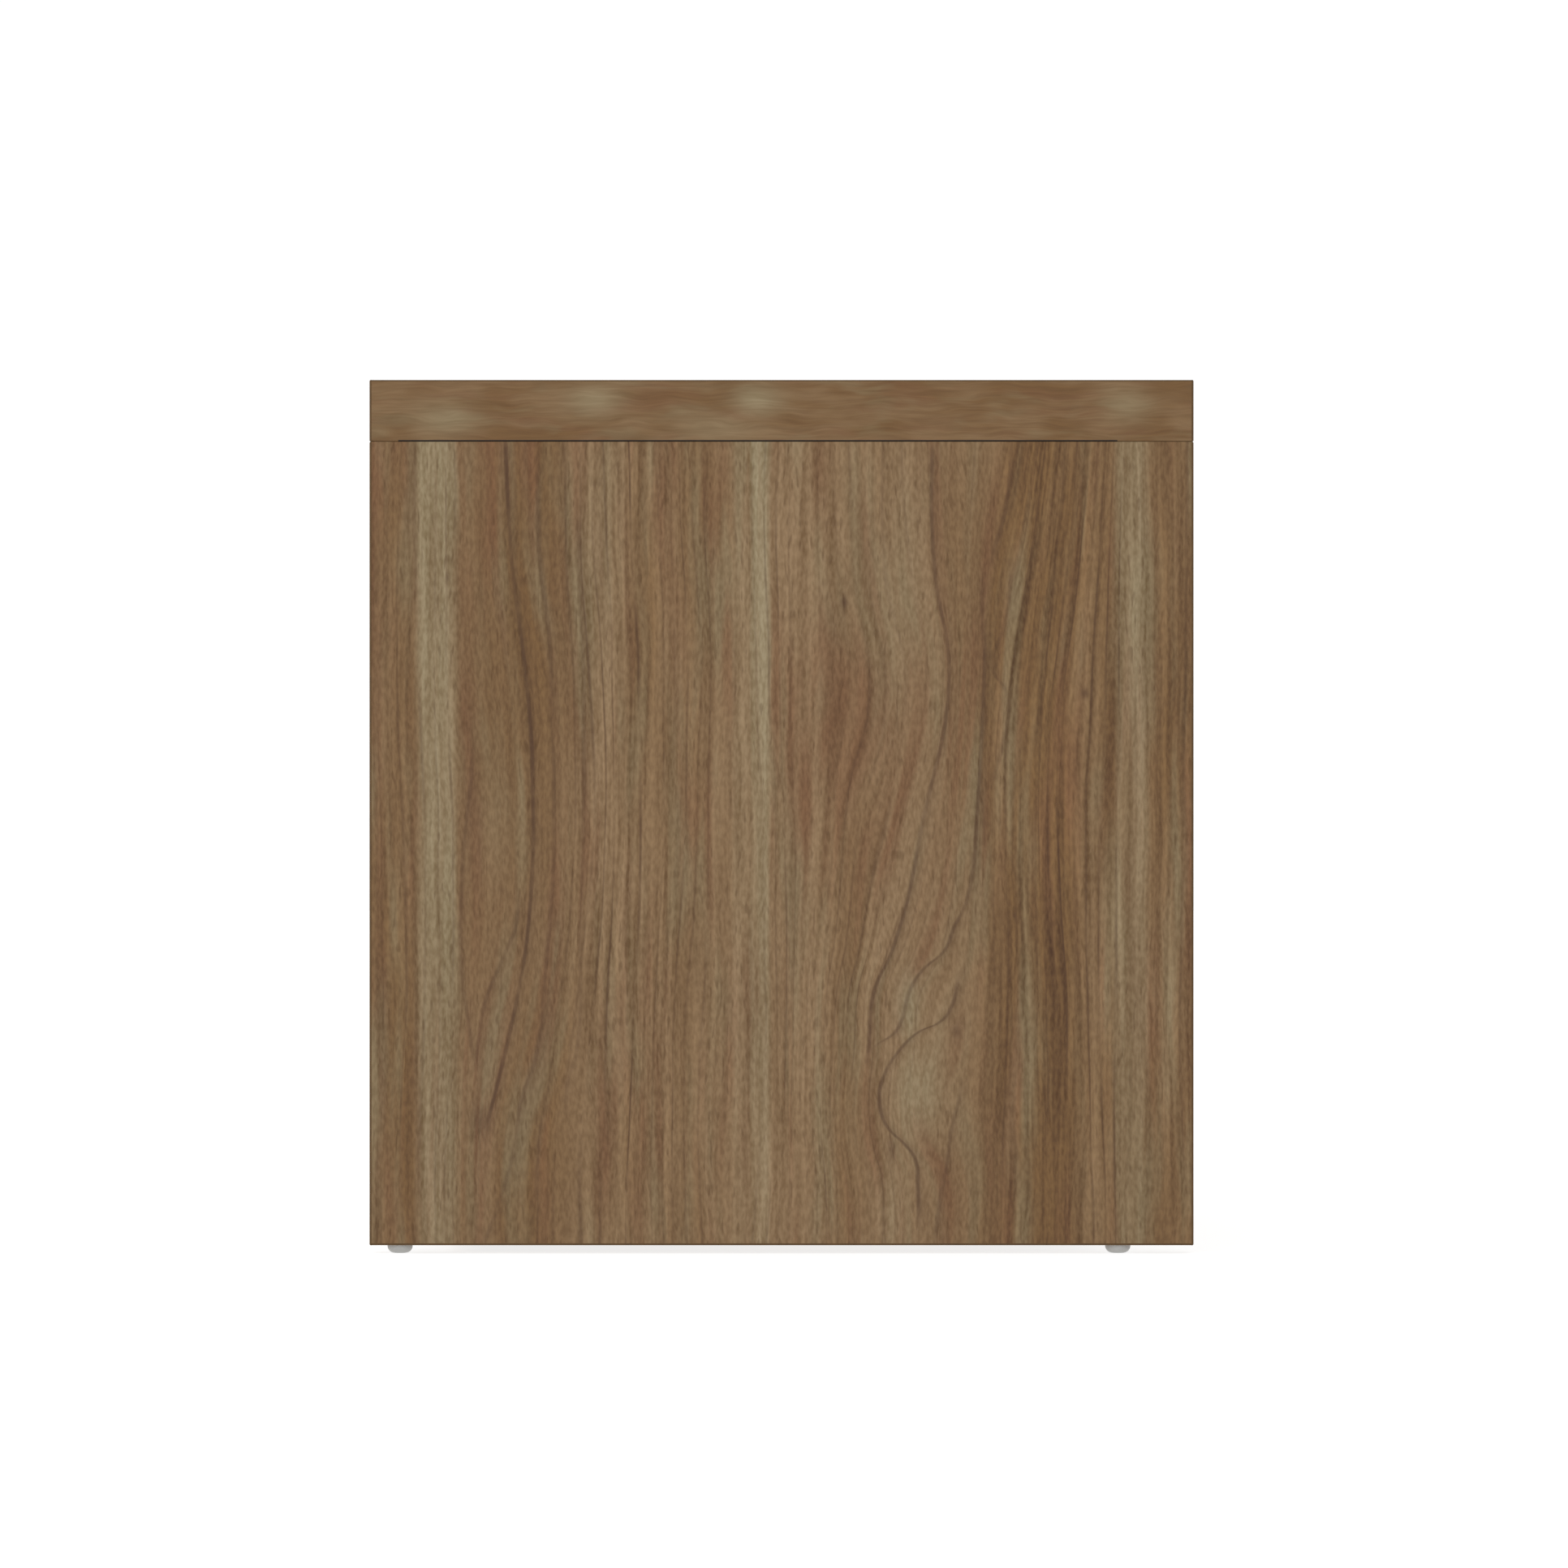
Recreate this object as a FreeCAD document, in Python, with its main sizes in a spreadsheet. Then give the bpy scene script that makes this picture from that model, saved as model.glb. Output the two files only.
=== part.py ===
import FreeCAD, Part
import os
import re
import Sketcher

# Cube storage unit: an open-fronted box of melamine-faced particle board.
#
# Two side panels run down to nail-on glides. A sub-top board and a raised bottom board are held
# between them by cam fittings and dowels, and a plinth rail closes the gap under the bottom
# board. A thin fibreboard back slides in grooves in the sides. The thick top is one board with
# battens glued under its rim and deep edge bands around it. It sits on dowels and is screwed
# from inside the compartment.
#
# Millimetres, +Z up. The origin is on the floor, under the middle of the unit. The open front
# faces -Y.

SIZES = (
    ("unit_width", 400, "over the outer faces of the side panels"),
    ("unit_depth", 400, "over the front and back edge bands"),
    ("side_height", 390, "side panel with its bottom edge band"),
    ("board", 15, "thickness of every melamine board"),
    ("band", 1, "thickness of the edge bands"),
    ("band_radius", 0.8, "rounding of a band's outer edges"),
    ("front_setback", 13, "inner boards stand back from the front"),
    ("rear_setback", 37, "inner boards end before the back"),
    ("plinth_height", 30, "plinth rail, from the side panel's foot to the bottom board"),
    ("plinth_setback", 20, "plinth rail behind the bottom board's front"),
    ("batten_width", 60, "thickening battens under the top"),
    ("back", 3, "thickness of the fibreboard back"),
    ("back_end_gap", 1, "back panel below the top"),
    ("groove_depth", 6, "groove for the back in each side panel"),
    ("groove_play", 0.3, "groove wider than the back"),
    ("groove_end_play", 0.5, "back panel short of the groove's floor"),
    ("glide_diameter", 12.3, "nail-on glide"),
    ("glide_height", 4, "the unit's clearance above the floor"),
    ("glide_round", 3.5, "rounding of the glide's rim"),
    ("glide_front_inset", 14.5, "front glide's centre behind the front"),
    ("glide_rear_inset", 36.5, "rear glide's centre before the back"),
    ("glide_nail", 1.6, "diameter of the glide's nail"),
    ("glide_nail_length", 14, "whole nail, with the part held in the glide"),
    ("glide_nail_grip", 2.5, "length of nail held in the glide"),
    ("cam", 15, "diameter of the cam"),
    ("cam_floor", 2.5, "board left over a cam's bore"),
    ("cam_play", 0.5, "gap between a cam and its bore's floor"),
    ("cam_reach", 34, "from a board's end to the cam's centre"),
    ("cam_inset", 65, "fastener rows, from an inner board's edges"),
    ("cap", 18, "diameter of a cam's cover cap"),
    ("cap_height", 1, "cover cap standing on the board"),
    ("bolt_head", 6.5, "cam bolt's head, diameter and length"),
    ("bolt_neck", 4, "cam bolt's neck, diameter"),
    ("bolt_shaft", 7, "cam bolt's shaft, diameter"),
    ("bolt_thread", 6, "cam bolt's thread, diameter"),
    ("bolt_play", 0.5, "room around a cam bolt's shaft and head"),
    ("side_floor", 3, "side panel left behind a cam bolt's bore"),
    ("dowel", 8, "dowel diameter"),
    ("dowel_length", 30, "dowel length"),
    ("dowel_chamfer", 1, "dowel's ends"),
    ("dowel_floor", 4, "board left behind a dowel bore across a board"),
    ("bore_end_play", 1, "bore deeper than what it holds"),
    ("dowel_inset", 33, "dowel rows, from an inner board's edges"),
    ("top_dowel_shift", 32, "top's dowels, inward from the cam rows"),
    ("recess_arm", 1.2, "width of a driver recess's arms"),
    ("recess_depth", 1.8, "depth of a driver recess"),
    ("top_screw", 4, "screw that holds the top, diameter"),
    ("top_screw_floor", 5, "batten left over the point of a screw that holds the top"),
    ("top_screw_head", 8, "its countersunk head, diameter"),
    ("top_screw_hole", 4.5, "clearance hole in the sub-top board"),
    ("top_screw_inset", 45, "from the side panel's inner face"),
    ("bracket_leg", 22, "corner bracket, both legs"),
    ("bracket_width", 36, "corner bracket, along the rail"),
    ("bracket_sheet", 1.5, "corner bracket's steel"),
    ("bracket_bend", 1, "radius inside the bracket's bend"),
    ("bracket_inset", 80, "bracket's middle, from the side panel's inner face"),
    ("bracket_hole_pitch", 20, "between the two screws of a leg"),
    ("bracket_hole_edge", 9, "screws, from the leg's end"),
    ("bracket_screw", 3.5, "bracket screw, diameter"),
    ("bracket_screw_length", 11, "bracket screw under its head"),
    ("bracket_screw_head", 6.5, "bracket screw's pan head, diameter"),
    ("bracket_screw_rise", 2, "height of the pan head"),
    ("back_nail", 1.4, "nail that holds the back, diameter"),
    ("back_nail_length", 20, "nail that holds the back"),
    ("back_nail_head", 4, "its flat head, diameter"),
    ("back_nail_rise", 0.6, "thickness of its head"),
    ("back_nail_inset", 30, "end nails, from the side panel's inner face"),
)

BACK_NAILS_IN_ROW = 4
COUNTERSINK_ANGLE = 90
SHEET = "Sizes"
# A straight edge counts as lying in a plane when it is nearer than this.
NEAR = 0.001

# Shared planes and rows, worked out from the sheet.
OUTER_X = "(unit_width / 2)"
INNER_X = "(unit_width / 2 - board)"
CORE_X = "(unit_width / 2 - band)"
FRONT_Y = "(-unit_depth / 2)"
CORE_Y = "(unit_depth / 2 - band)"
INNER_FRONT_Y = "(-unit_depth / 2 + front_setback)"
INNER_BACK_Y = "(unit_depth / 2 - rear_setback)"
CORE_DEPTH = "(unit_depth - 2 * band)"
INNER_WIDTH = "(unit_width - 2 * board)"
INNER_DEPTH = "(unit_depth - front_setback - rear_setback - band)"
SIDE_TOP_Z = "(glide_height + side_height)"
BOTTOM_Z = "(glide_height + plinth_height)"
SUB_TOP_Z = "(glide_height + side_height - board)"
SUB_TOP_RISE = "(side_height - board - plinth_height)"
CAM_FRONT_Y = "(-unit_depth / 2 + front_setback + cam_inset)"
CAM_BACK_Y = "(unit_depth / 2 - rear_setback - cam_inset)"
DOWEL_FRONT_Y = "(-unit_depth / 2 + front_setback + dowel_inset)"
DOWEL_BACK_Y = "(unit_depth / 2 - rear_setback - dowel_inset)"
PLINTH_FRONT_Y = "(-unit_depth / 2 + front_setback + plinth_setback)"
TOP_DOWEL_FRONT_Y = "(-unit_depth / 2 + front_setback + cam_inset + top_dowel_shift)"
TOP_DOWEL_BACK_Y = "(unit_depth / 2 - rear_setback - cam_inset - top_dowel_shift)"
DOWEL_BORE = "(board - dowel_floor)"
DOWEL_LONG_END = "(dowel_length - board + dowel_floor + bore_end_play)"
BOLT_BORE = "(board - side_floor)"
CAM_BORE = "(board - cam_floor)"
TOP_SCREW_LENGTH = "(2 * board - top_screw_floor)"
RAIL_BACK_Y = "(-unit_depth / 2 + front_setback + plinth_setback + board)"
BRACKET_X = "(unit_width / 2 - board - bracket_inset)"
BRACKET_HOLE = "(bracket_leg - bracket_hole_edge)"
BRACKET_PILOT = "(bracket_screw_length - bracket_sheet + bore_end_play)"
TOP_SCREW_FRONT_Y = "((-unit_depth + front_setback + band + batten_width) / 2)"
TOP_SCREW_BACK_Y = "((unit_depth - rear_setback - band - batten_width) / 2)"

document = FreeCAD.newDocument("CubeStorageUnit")
pieces = []


def make_sheet():
    """Write the driving dimensions into the spreadsheet, one alias to a row."""
    sheet = document.addObject("Spreadsheet::Sheet", SHEET)
    for row, (name, size, meaning) in enumerate(SIZES, start=1):
        sheet.set("A%d" % row, name)
        sheet.set("B%d" % row, str(size))
        sheet.set("C%d" % row, meaning)
        sheet.setAlias("B%d" % row, name)
    document.recompute()


def sheet_size(name):
    """Read one size from the spreadsheet."""
    return float(document.getObject(SHEET).get(name))


def from_sheet(text):
    """Turn a formula in the sheet's names into a FreeCAD expression."""
    return re.sub(r"\b([a-z][a-z_]*)\b(?!\()", SHEET + r".\1", text)


def bind(thing, name, text):
    """Bind one of an object's values to a formula in the sheet's names."""
    thing.setExpression(name, from_sheet(text))


def origin_feature(body, role):
    """Find one of a body's own origin planes or axes."""
    for feature in body.Origin.OriginFeatures:
        if feature.Role == role:
            return feature
    raise ValueError(role)


def new_body(label, place):
    """Start a sub-part with its own label and a placement bound to the sheet."""
    body = document.addObject("PartDesign::Body", label)
    body.Label = label
    for axis, text in zip("xyz", place):
        bind(body, "Placement.Base." + axis, text)
    pieces.append(body)
    return body


def new_sketch(body, name, role, lift="0"):
    """Attach a sketch to a body's origin plane, lifted along the plane's normal."""
    sketch = body.newObject("Sketcher::SketchObject", name)
    sketch.AttachmentSupport = [(origin_feature(body, role), "")]
    sketch.MapMode = "FlatFace"
    bind(sketch, "AttachmentOffset.Base.z", lift)
    return sketch


def locate(sketch, geometry, point, spot):
    """Fix a point of a sketch by its two distances from the sketch's origin."""
    for kind, text in zip(("DistanceX", "DistanceY"), spot):
        number = sketch.addConstraint(Sketcher.Constraint(kind, -1, 1, geometry, point, 1.0))
        bind(sketch, "Constraints[%d]" % number, text)


def add_outline(sketch, corners):
    """Draw a closed outline of straight lines with every corner located."""
    start = sketch.GeometryCount
    count = len(corners)
    for number in range(count):
        here = FreeCAD.Vector(number, number % 2, 0)
        there = FreeCAD.Vector(number + 1, (number + 1) % 2, 0)
        sketch.addGeometry(Part.LineSegment(here, there), False)
    for number in range(count):
        follower = start + (number + 1) % count
        sketch.addConstraint(Sketcher.Constraint("Coincident", start + number, 2, follower, 1))
        locate(sketch, start + number, 1, corners[number])


def add_rectangle(sketch, low, high):
    """Draw a rectangle from its low and high corners."""
    add_outline(sketch, (low, (high[0], low[1]), high, (low[0], high[1])))


def add_circle(sketch, centre, diameter):
    """Draw a circle with its centre and diameter bound."""
    round_edge = Part.Circle(FreeCAD.Vector(1, 1, 0), FreeCAD.Vector(0, 0, 1), 1)
    geometry = sketch.addGeometry(round_edge, False)
    locate(sketch, geometry, 3, centre)
    number = sketch.addConstraint(Sketcher.Constraint("Diameter", geometry, 2.0))
    bind(sketch, "Constraints[%d]" % number, diameter)


def pad(body, sketch, length):
    """Extrude a sketch along its plane's normal."""
    feature = body.newObject("PartDesign::Pad", "Pad")
    feature.Profile = sketch
    bind(feature, "Length", length)
    body.Tip = feature
    document.recompute()
    return feature


def pocket(body, sketch, depth, forward):
    """Cut a sketch into a body, along the plane's normal when forward is true."""
    before = body.Shape.Volume
    feature = body.newObject("PartDesign::Pocket", "Pocket")
    feature.Profile = sketch
    feature.Reversed = forward
    bind(feature, "Length", depth)
    body.Tip = feature
    document.recompute()
    if body.Shape.Volume >= before:
        raise ValueError("a pocket of " + body.Label + " cuts nothing")


def bore(body, name, role, lift, forward, centres, diameter, depth):
    """Drill round blind bores of one size from one plane."""
    sketch = new_sketch(body, name, role, lift)
    for centre in centres:
        add_circle(sketch, centre, diameter)
    pocket(body, sketch, depth, forward)


def repeat(body, role, length, count=2):
    """Repeat the whole body along one of its axes, over a total length."""
    pattern = body.newObject("PartDesign::LinearPattern", "Row")
    pattern.TransformMode = "Whole shape"
    pattern.Direction = (origin_feature(body, role), [""])
    bind(pattern, "Length", length)
    pattern.Occurrences = count
    body.Tip = pattern
    document.recompute()


def mirror_across_middle(body):
    """Mirror the whole body across the unit's middle plane."""
    mirrored = body.newObject("PartDesign::Mirrored", "OtherSide")
    mirrored.TransformMode = "Whole shape"
    mirrored.MirrorPlane = (origin_feature(body, "YZ_Plane"), [""])
    body.Tip = mirrored
    document.recompute()


def dress(body, kind, base, edges, size):
    """Round or chamfer the named edges of a feature."""
    feature = body.newObject("PartDesign::" + kind, kind)
    feature.Base = (base, edges)
    bind(feature, "Radius" if kind == "Fillet" else "Size", size)
    body.Tip = feature
    document.recompute()


def board(label, corner, size):
    """Make a rectangular board from its low corner and its three sizes."""
    body = new_body(label, corner)
    outline = new_sketch(body, "Outline", "XY_Plane")
    add_rectangle(outline, ("0", "0"), (size[0], size[1]))
    pad(body, outline, size[2])
    return body


def edges_on(feature, axis, side, along):
    """Name the straight edges on a box's low or high face that run along some axes."""
    box = feature.Shape.BoundBox
    limits = {"x": (box.XMin, box.XMax), "y": (box.YMin, box.YMax), "z": (box.ZMin, box.ZMax)}
    level = limits[axis][0 if side == "low" else 1]
    names = []
    for number, edge in enumerate(feature.Shape.Edges, start=1):
        first, last = (vertex.Point for vertex in edge.Vertexes)
        step = last - first
        runs = max("xyz", key=lambda name: abs(getattr(step, name)))
        if all(abs(getattr(end, axis) - level) < NEAR for end in (first, last)) and runs in along:
            names.append("Edge%d" % number)
    return names


def low_rim(feature):
    """Name the edge round a disc's lower face."""
    floor = feature.Shape.BoundBox.ZMin
    for number, edge in enumerate(feature.Shape.Edges, start=1):
        if edge.BoundBox.ZMax < floor + NEAR:
            return "Edge%d" % number
    raise ValueError("no low rim")


def edge_band(label, corner, size, axis, side, along):
    """Make an edge band whose outer face has its long edges, or all four, rounded."""
    body = board(label, corner, size)
    base = body.Tip
    dress(body, "Fillet", base, edges_on(base, axis, side, along), "min(band_radius; 0.9 * band)")
    return body


def turned(label, place, plane, profile):
    """Turn a profile of (radius, height) points about the plane's vertical axis."""
    body = new_body(label, place)
    sketch = new_sketch(body, "Profile", plane)
    add_outline(sketch, profile)
    feature = body.newObject("PartDesign::Revolution", "Turned")
    feature.Profile = sketch
    feature.ReferenceAxis = (sketch, ["V_Axis"])
    body.Tip = feature
    document.recompute()
    return body


def cross_recess(body, plane, lift, centre, reach):
    """Cut a cross for the driver into a fastener's face, along the plane's normal."""
    arm = "recess_arm / 2"
    for half_x, half_y in ((reach, arm), (arm, reach)):
        sketch = new_sketch(body, "Recess", plane, lift)
        low = ("%s - %s" % (centre[0], half_x), "%s - %s" % (centre[1], half_y))
        high = ("%s + %s" % (centre[0], half_x), "%s + %s" % (centre[1], half_y))
        add_rectangle(sketch, low, high)
        pocket(body, sketch, "recess_depth", True)


def make_side_panel(hand):
    """Side panel, standing with its grain upright, and drilled on its inner face."""
    right = hand == "right"
    corner_x = INNER_X if right else "-" + OUTER_X
    core_height = "(side_height - band)"
    panel = board(hand + "_side_panel", (corner_x, "-" + CORE_Y, "glide_height + band"),
                  ("board", CORE_DEPTH, core_height))
    # The inner face is the low x face of the right panel and the high x face of the left one.
    inner = "0" if right else "board"

    def spot(unit_y, unit_z):
        return unit_y + " + " + CORE_Y, unit_z + " - glide_height - band"

    bolts = []
    dowels = [spot(PLINTH_FRONT_Y + " + board / 2", "(glide_height + plinth_height / 2)")]
    for height in (BOTTOM_Z + " + board / 2", SUB_TOP_Z + " + board / 2"):
        bolts += [spot(CAM_FRONT_Y, height), spot(CAM_BACK_Y, height)]
        dowels += [spot(DOWEL_FRONT_Y, height), spot(DOWEL_BACK_Y, height)]
    bore(panel, "BoltBores", "YZ_Plane", inner, right, bolts, "bolt_thread", BOLT_BORE)
    bore(panel, "DowelBores", "YZ_Plane", inner, right, dowels, "dowel", DOWEL_BORE)

    groove = new_sketch(panel, "BackGroove", "YZ_Plane", inner)
    groove_front = INNER_BACK_Y + " + " + CORE_Y
    add_rectangle(groove, (groove_front, "0"),
                  (groove_front + " + back + groove_play", core_height))
    pocket(panel, groove, "groove_depth", right)

    top_dowels = [("board / 2", row + " + " + CORE_Y) for row in (TOP_DOWEL_FRONT_Y, TOP_DOWEL_BACK_Y)]
    bore(panel, "TopDowelBores", "XY_Plane", core_height, False, top_dowels, "dowel",
         DOWEL_LONG_END + " + bore_end_play")
    nails = [("board / 2", "glide_front_inset - band"),
             ("board / 2", "unit_depth - glide_rear_inset - band")]
    bore(panel, "GlideNailBores", "XY_Plane", "0", True, nails, "glide_nail",
         "glide_nail_length - glide_nail_grip - band + bore_end_play")


def make_side_bands(hand):
    """Edge bands of a side panel: front and back over the whole height, and the foot."""
    corner_x = INNER_X if hand == "right" else "-" + OUTER_X
    upright = ("board", "band", "side_height")
    edge_band(hand + "_side_front_band", (corner_x, FRONT_Y, "glide_height"), upright,
              "y", "low", "xz")
    edge_band(hand + "_side_back_band", (corner_x, CORE_Y, "glide_height"), upright,
              "y", "high", "xz")
    foot = edge_band(hand + "_side_foot_band", (corner_x, "-" + CORE_Y, "glide_height"),
                     ("board", CORE_DEPTH, "band"), "z", "low", "y")
    nails = [("board / 2", "glide_front_inset - band"),
             ("board / 2", "unit_depth - glide_rear_inset - band")]
    bore(foot, "GlideNailHoles", "XY_Plane", "0", True, nails, "glide_nail", "band")


def back_nail_columns(first):
    """Space the back's nails evenly, from the first one's distance to a piece's end."""
    run = "(%s - 2 * back_nail_inset)" % INNER_WIDTH
    gaps = BACK_NAILS_IN_ROW - 1
    return ["%s + %s * %d / %d" % (first, run, number, gaps) for number in range(BACK_NAILS_IN_ROW)]


def bracket_screw_columns():
    """Place the bracket screws along an inner board or the rail, from its left end."""
    columns = []
    for side in "-+":
        for step in "-+":
            middle = "%s / 2 %s (%s - bracket_inset)" % (INNER_WIDTH, side, INNER_X)
            columns.append(middle + " %s bracket_hole_pitch / 2" % step)
    return columns


def make_inner_board(label, low_z):
    """Board between the side panels, with cam bores underneath and drilled ends."""
    inner = board(label, ("-" + INNER_X, INNER_FRONT_Y + " + band", low_z),
                  (INNER_WIDTH, INNER_DEPTH, "board"))
    cam_rows = ("cam_inset - band", INNER_DEPTH + " - cam_inset")
    dowel_rows = ("dowel_inset - band", INNER_DEPTH + " - dowel_inset")
    cams = []
    for row in cam_rows:
        cams += [("cam_reach", row), (INNER_WIDTH + " - cam_reach", row)]
    bore(inner, "CamBores", "XY_Plane", "0", True, cams, "cam", CAM_BORE)
    for end, forward in (("0", True), (INNER_WIDTH, False)):
        bore(inner, "BoltChannels", "YZ_Plane", end, forward, [(row, "board / 2") for row in cam_rows],
             "bolt_shaft + 2 * bolt_play", "cam_reach")
        bore(inner, "DowelBores", "YZ_Plane", end, forward, [(row, "board / 2") for row in dowel_rows],
             "dowel", DOWEL_LONG_END + " + bore_end_play")
    nails = [(column, "board / 2") for column in back_nail_columns("back_nail_inset")]
    bore(inner, "BackNailBores", "XZ_Plane", "-" + INNER_DEPTH, True, nails, "back_nail",
         "back_nail_length - back + bore_end_play")
    return inner


def make_sub_top():
    """Board under the top, which the top is screwed down to."""
    sub_top = make_inner_board("sub_top_board", SUB_TOP_Z)
    holes = new_sketch(sub_top, "ScrewHoles", "XY_Plane")
    for row in (TOP_SCREW_FRONT_Y, TOP_SCREW_BACK_Y):
        spot_y = "%s - %s - band" % (row, INNER_FRONT_Y)
        for spot_x in ("top_screw_inset", INNER_WIDTH + " - top_screw_inset"):
            add_circle(holes, (spot_x, spot_y), "top_screw_hole")
    before = sub_top.Shape.Volume
    document.recompute()
    countersunk = sub_top.newObject("PartDesign::Hole", "CountersunkHoles")
    countersunk.Profile = holes
    countersunk.ThreadType = "None"
    countersunk.DepthType = "ThroughAll"
    countersunk.HoleCutType = "Countersink"
    countersunk.HoleCutCustomValues = True
    countersunk.HoleCutCountersinkAngle = COUNTERSINK_ANGLE
    countersunk.Reversed = True
    bind(countersunk, "Diameter", "top_screw_hole")
    bind(countersunk, "HoleCutDiameter", "top_screw_head")
    sub_top.Tip = countersunk
    document.recompute()
    if sub_top.Shape.Volume >= before:
        raise ValueError("the screw holes of the sub-top board cut nothing")
    edge_band("sub_top_front_band", ("-" + INNER_X, INNER_FRONT_Y, SUB_TOP_Z),
              (INNER_WIDTH, "band", "board"), "y", "low", "x")


def make_bottom():
    """Raised bottom board of the compartment, with pilots for the brackets underneath."""
    bottom = make_inner_board("bottom_board", BOTTOM_Z)
    row = "plinth_setback + board + %s - band" % BRACKET_HOLE
    pilots = [(column, row) for column in bracket_screw_columns()]
    bore(bottom, "BracketPilots", "XY_Plane", "0", True, pilots, "bracket_screw", BRACKET_PILOT)
    edge_band("bottom_front_band", ("-" + INNER_X, INNER_FRONT_Y, BOTTOM_Z),
              (INNER_WIDTH, "band", "board"), "y", "low", "x")


def make_plinth():
    """Rail under the bottom board's front, with a band on its lower edge."""
    rail = board("plinth_rail", ("-" + INNER_X, PLINTH_FRONT_Y, "glide_height + band"),
                 (INNER_WIDTH, "board", "plinth_height - band"))
    centre = ("board / 2", "plinth_height / 2 - band")
    for end, forward in (("0", True), (INNER_WIDTH, False)):
        bore(rail, "DowelBores", "YZ_Plane", end, forward, [centre], "dowel",
             DOWEL_LONG_END + " + bore_end_play")
    row = "plinth_height - band - " + BRACKET_HOLE
    pilots = [(column, row) for column in bracket_screw_columns()]
    bore(rail, "BracketPilots", "XZ_Plane", "-board", True, pilots, "bracket_screw", BRACKET_PILOT)
    edge_band("plinth_foot_band", ("-" + INNER_X, PLINTH_FRONT_Y, "glide_height"),
              (INNER_WIDTH, "board", "band"), "z", "low", "x")


def make_back():
    """Fibreboard back, in the side panels' grooves and behind both inner boards."""
    half = "(%s + groove_depth - groove_end_play)" % INNER_X
    height = "(side_height - plinth_height - back_end_gap)"
    back = board("back_panel", ("-" + half, INNER_BACK_Y, BOTTOM_Z), ("2 * " + half, "back", height))
    holes = []
    for row in ("board / 2", SUB_TOP_RISE + " + board / 2"):
        for column in back_nail_columns("groove_depth - groove_end_play + back_nail_inset"):
            holes.append((column, row))
    bore(back, "NailHoles", "XZ_Plane", "0", False, holes, "back_nail", "back")


def make_top():
    """Top board, thickened by four battens under its rim."""
    board("top_board", ("-" + CORE_X, "-" + CORE_Y, SIDE_TOP_Z + " + board"),
          ("2 * " + CORE_X, CORE_DEPTH, "board"))
    full = ("2 * " + CORE_X, "batten_width", "board")
    for name, low_y, row in (("front", "-" + CORE_Y, TOP_SCREW_FRONT_Y),
                             ("back", CORE_Y + " - batten_width", TOP_SCREW_BACK_Y)):
        batten = board("top_batten_" + name, ("-" + CORE_X, low_y, SIDE_TOP_Z), full)
        reach = "(%s - top_screw_inset)" % INNER_X
        pilots = [("%s %s %s" % (CORE_X, sign, reach), "%s - (%s)" % (row, low_y)) for sign in "-+"]
        bore(batten, "ScrewPilots", "XY_Plane", "0", True, pilots, "top_screw",
             TOP_SCREW_LENGTH + " - board + bore_end_play")
    short = ("batten_width", CORE_DEPTH + " - 2 * batten_width", "board")
    for name, low_x in (("left", "-" + CORE_X), ("right", CORE_X + " - batten_width")):
        low_y = "(-%s + batten_width)" % CORE_Y
        batten = board("top_batten_" + name, (low_x, low_y, SIDE_TOP_Z), short)
        middle = "board / 2 - band" if name == "left" else "batten_width - board / 2 + band"
        seats = [(middle, "%s - %s" % (row, low_y)) for row in (TOP_DOWEL_FRONT_Y, TOP_DOWEL_BACK_Y)]
        bore(batten, "DowelBores", "XY_Plane", "0", True, seats, "dowel", DOWEL_BORE)


def make_top_bands():
    """Deep edge bands around the top: the front and back ones cover the ends of the others."""
    for name, low_x, side in (("left", "-" + OUTER_X, "low"), ("right", CORE_X, "high")):
        edge_band("top_%s_band" % name, (low_x, "-" + CORE_Y, SIDE_TOP_Z),
                  ("band", CORE_DEPTH, "2 * board"), "x", side, "y")
    for name, low_y, side in (("front", FRONT_Y, "low"), ("back", CORE_Y, "high")):
        edge_band("top_%s_band" % name, ("-" + OUTER_X, low_y, SIDE_TOP_Z),
                  ("unit_width", "band", "2 * board"), "y", side, "xz")


def make_glides():
    """Four domed plastic glides under the side panels, and the nails that hold them."""
    column_x = "(unit_width / 2 - board / 2)"
    front_y = "(-unit_depth / 2 + glide_front_inset)"
    back_y = "(unit_depth / 2 - glide_rear_inset)"
    for hand, sign in (("left", "-"), ("right", "")):
        for end, low_y in (("front", front_y), ("back", back_y)):
            glide = new_body("glide_%s_%s" % (end, hand), (sign + column_x, low_y, "0"))
            disc = new_sketch(glide, "Disc", "XY_Plane")
            add_circle(disc, ("0", "0"), "glide_diameter")
            base = pad(glide, disc, "glide_height")
            dress(glide, "Fillet", base, [low_rim(base)], "min(glide_round; 0.9 * glide_height)")
            bore(glide, "NailBore", "XY_Plane", "glide_height", False, [("0", "0")], "glide_nail",
                 "glide_nail_grip")
    nail_z = "(glide_height - glide_nail_grip)"
    point = "glide_nail_length - 2 * glide_nail"
    nails = turned("glide_nails", ("-" + column_x, front_y, nail_z), "XZ_Plane",
                   (("0", "0"), ("glide_nail / 2", "0"), ("glide_nail / 2", point),
                    ("0", "glide_nail_length")))
    repeat(nails, "X_Axis", "2 * " + column_x)
    repeat(nails, "Y_Axis", "unit_depth - glide_front_inset - glide_rear_inset")


def spread_over_joints(body, row_length):
    """Repeat a fitting at both rows of both inner boards, on both sides."""
    repeat(body, "Y_Axis", row_length)
    repeat(body, "Z_Axis", SUB_TOP_RISE)
    mirror_across_middle(body)


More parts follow.
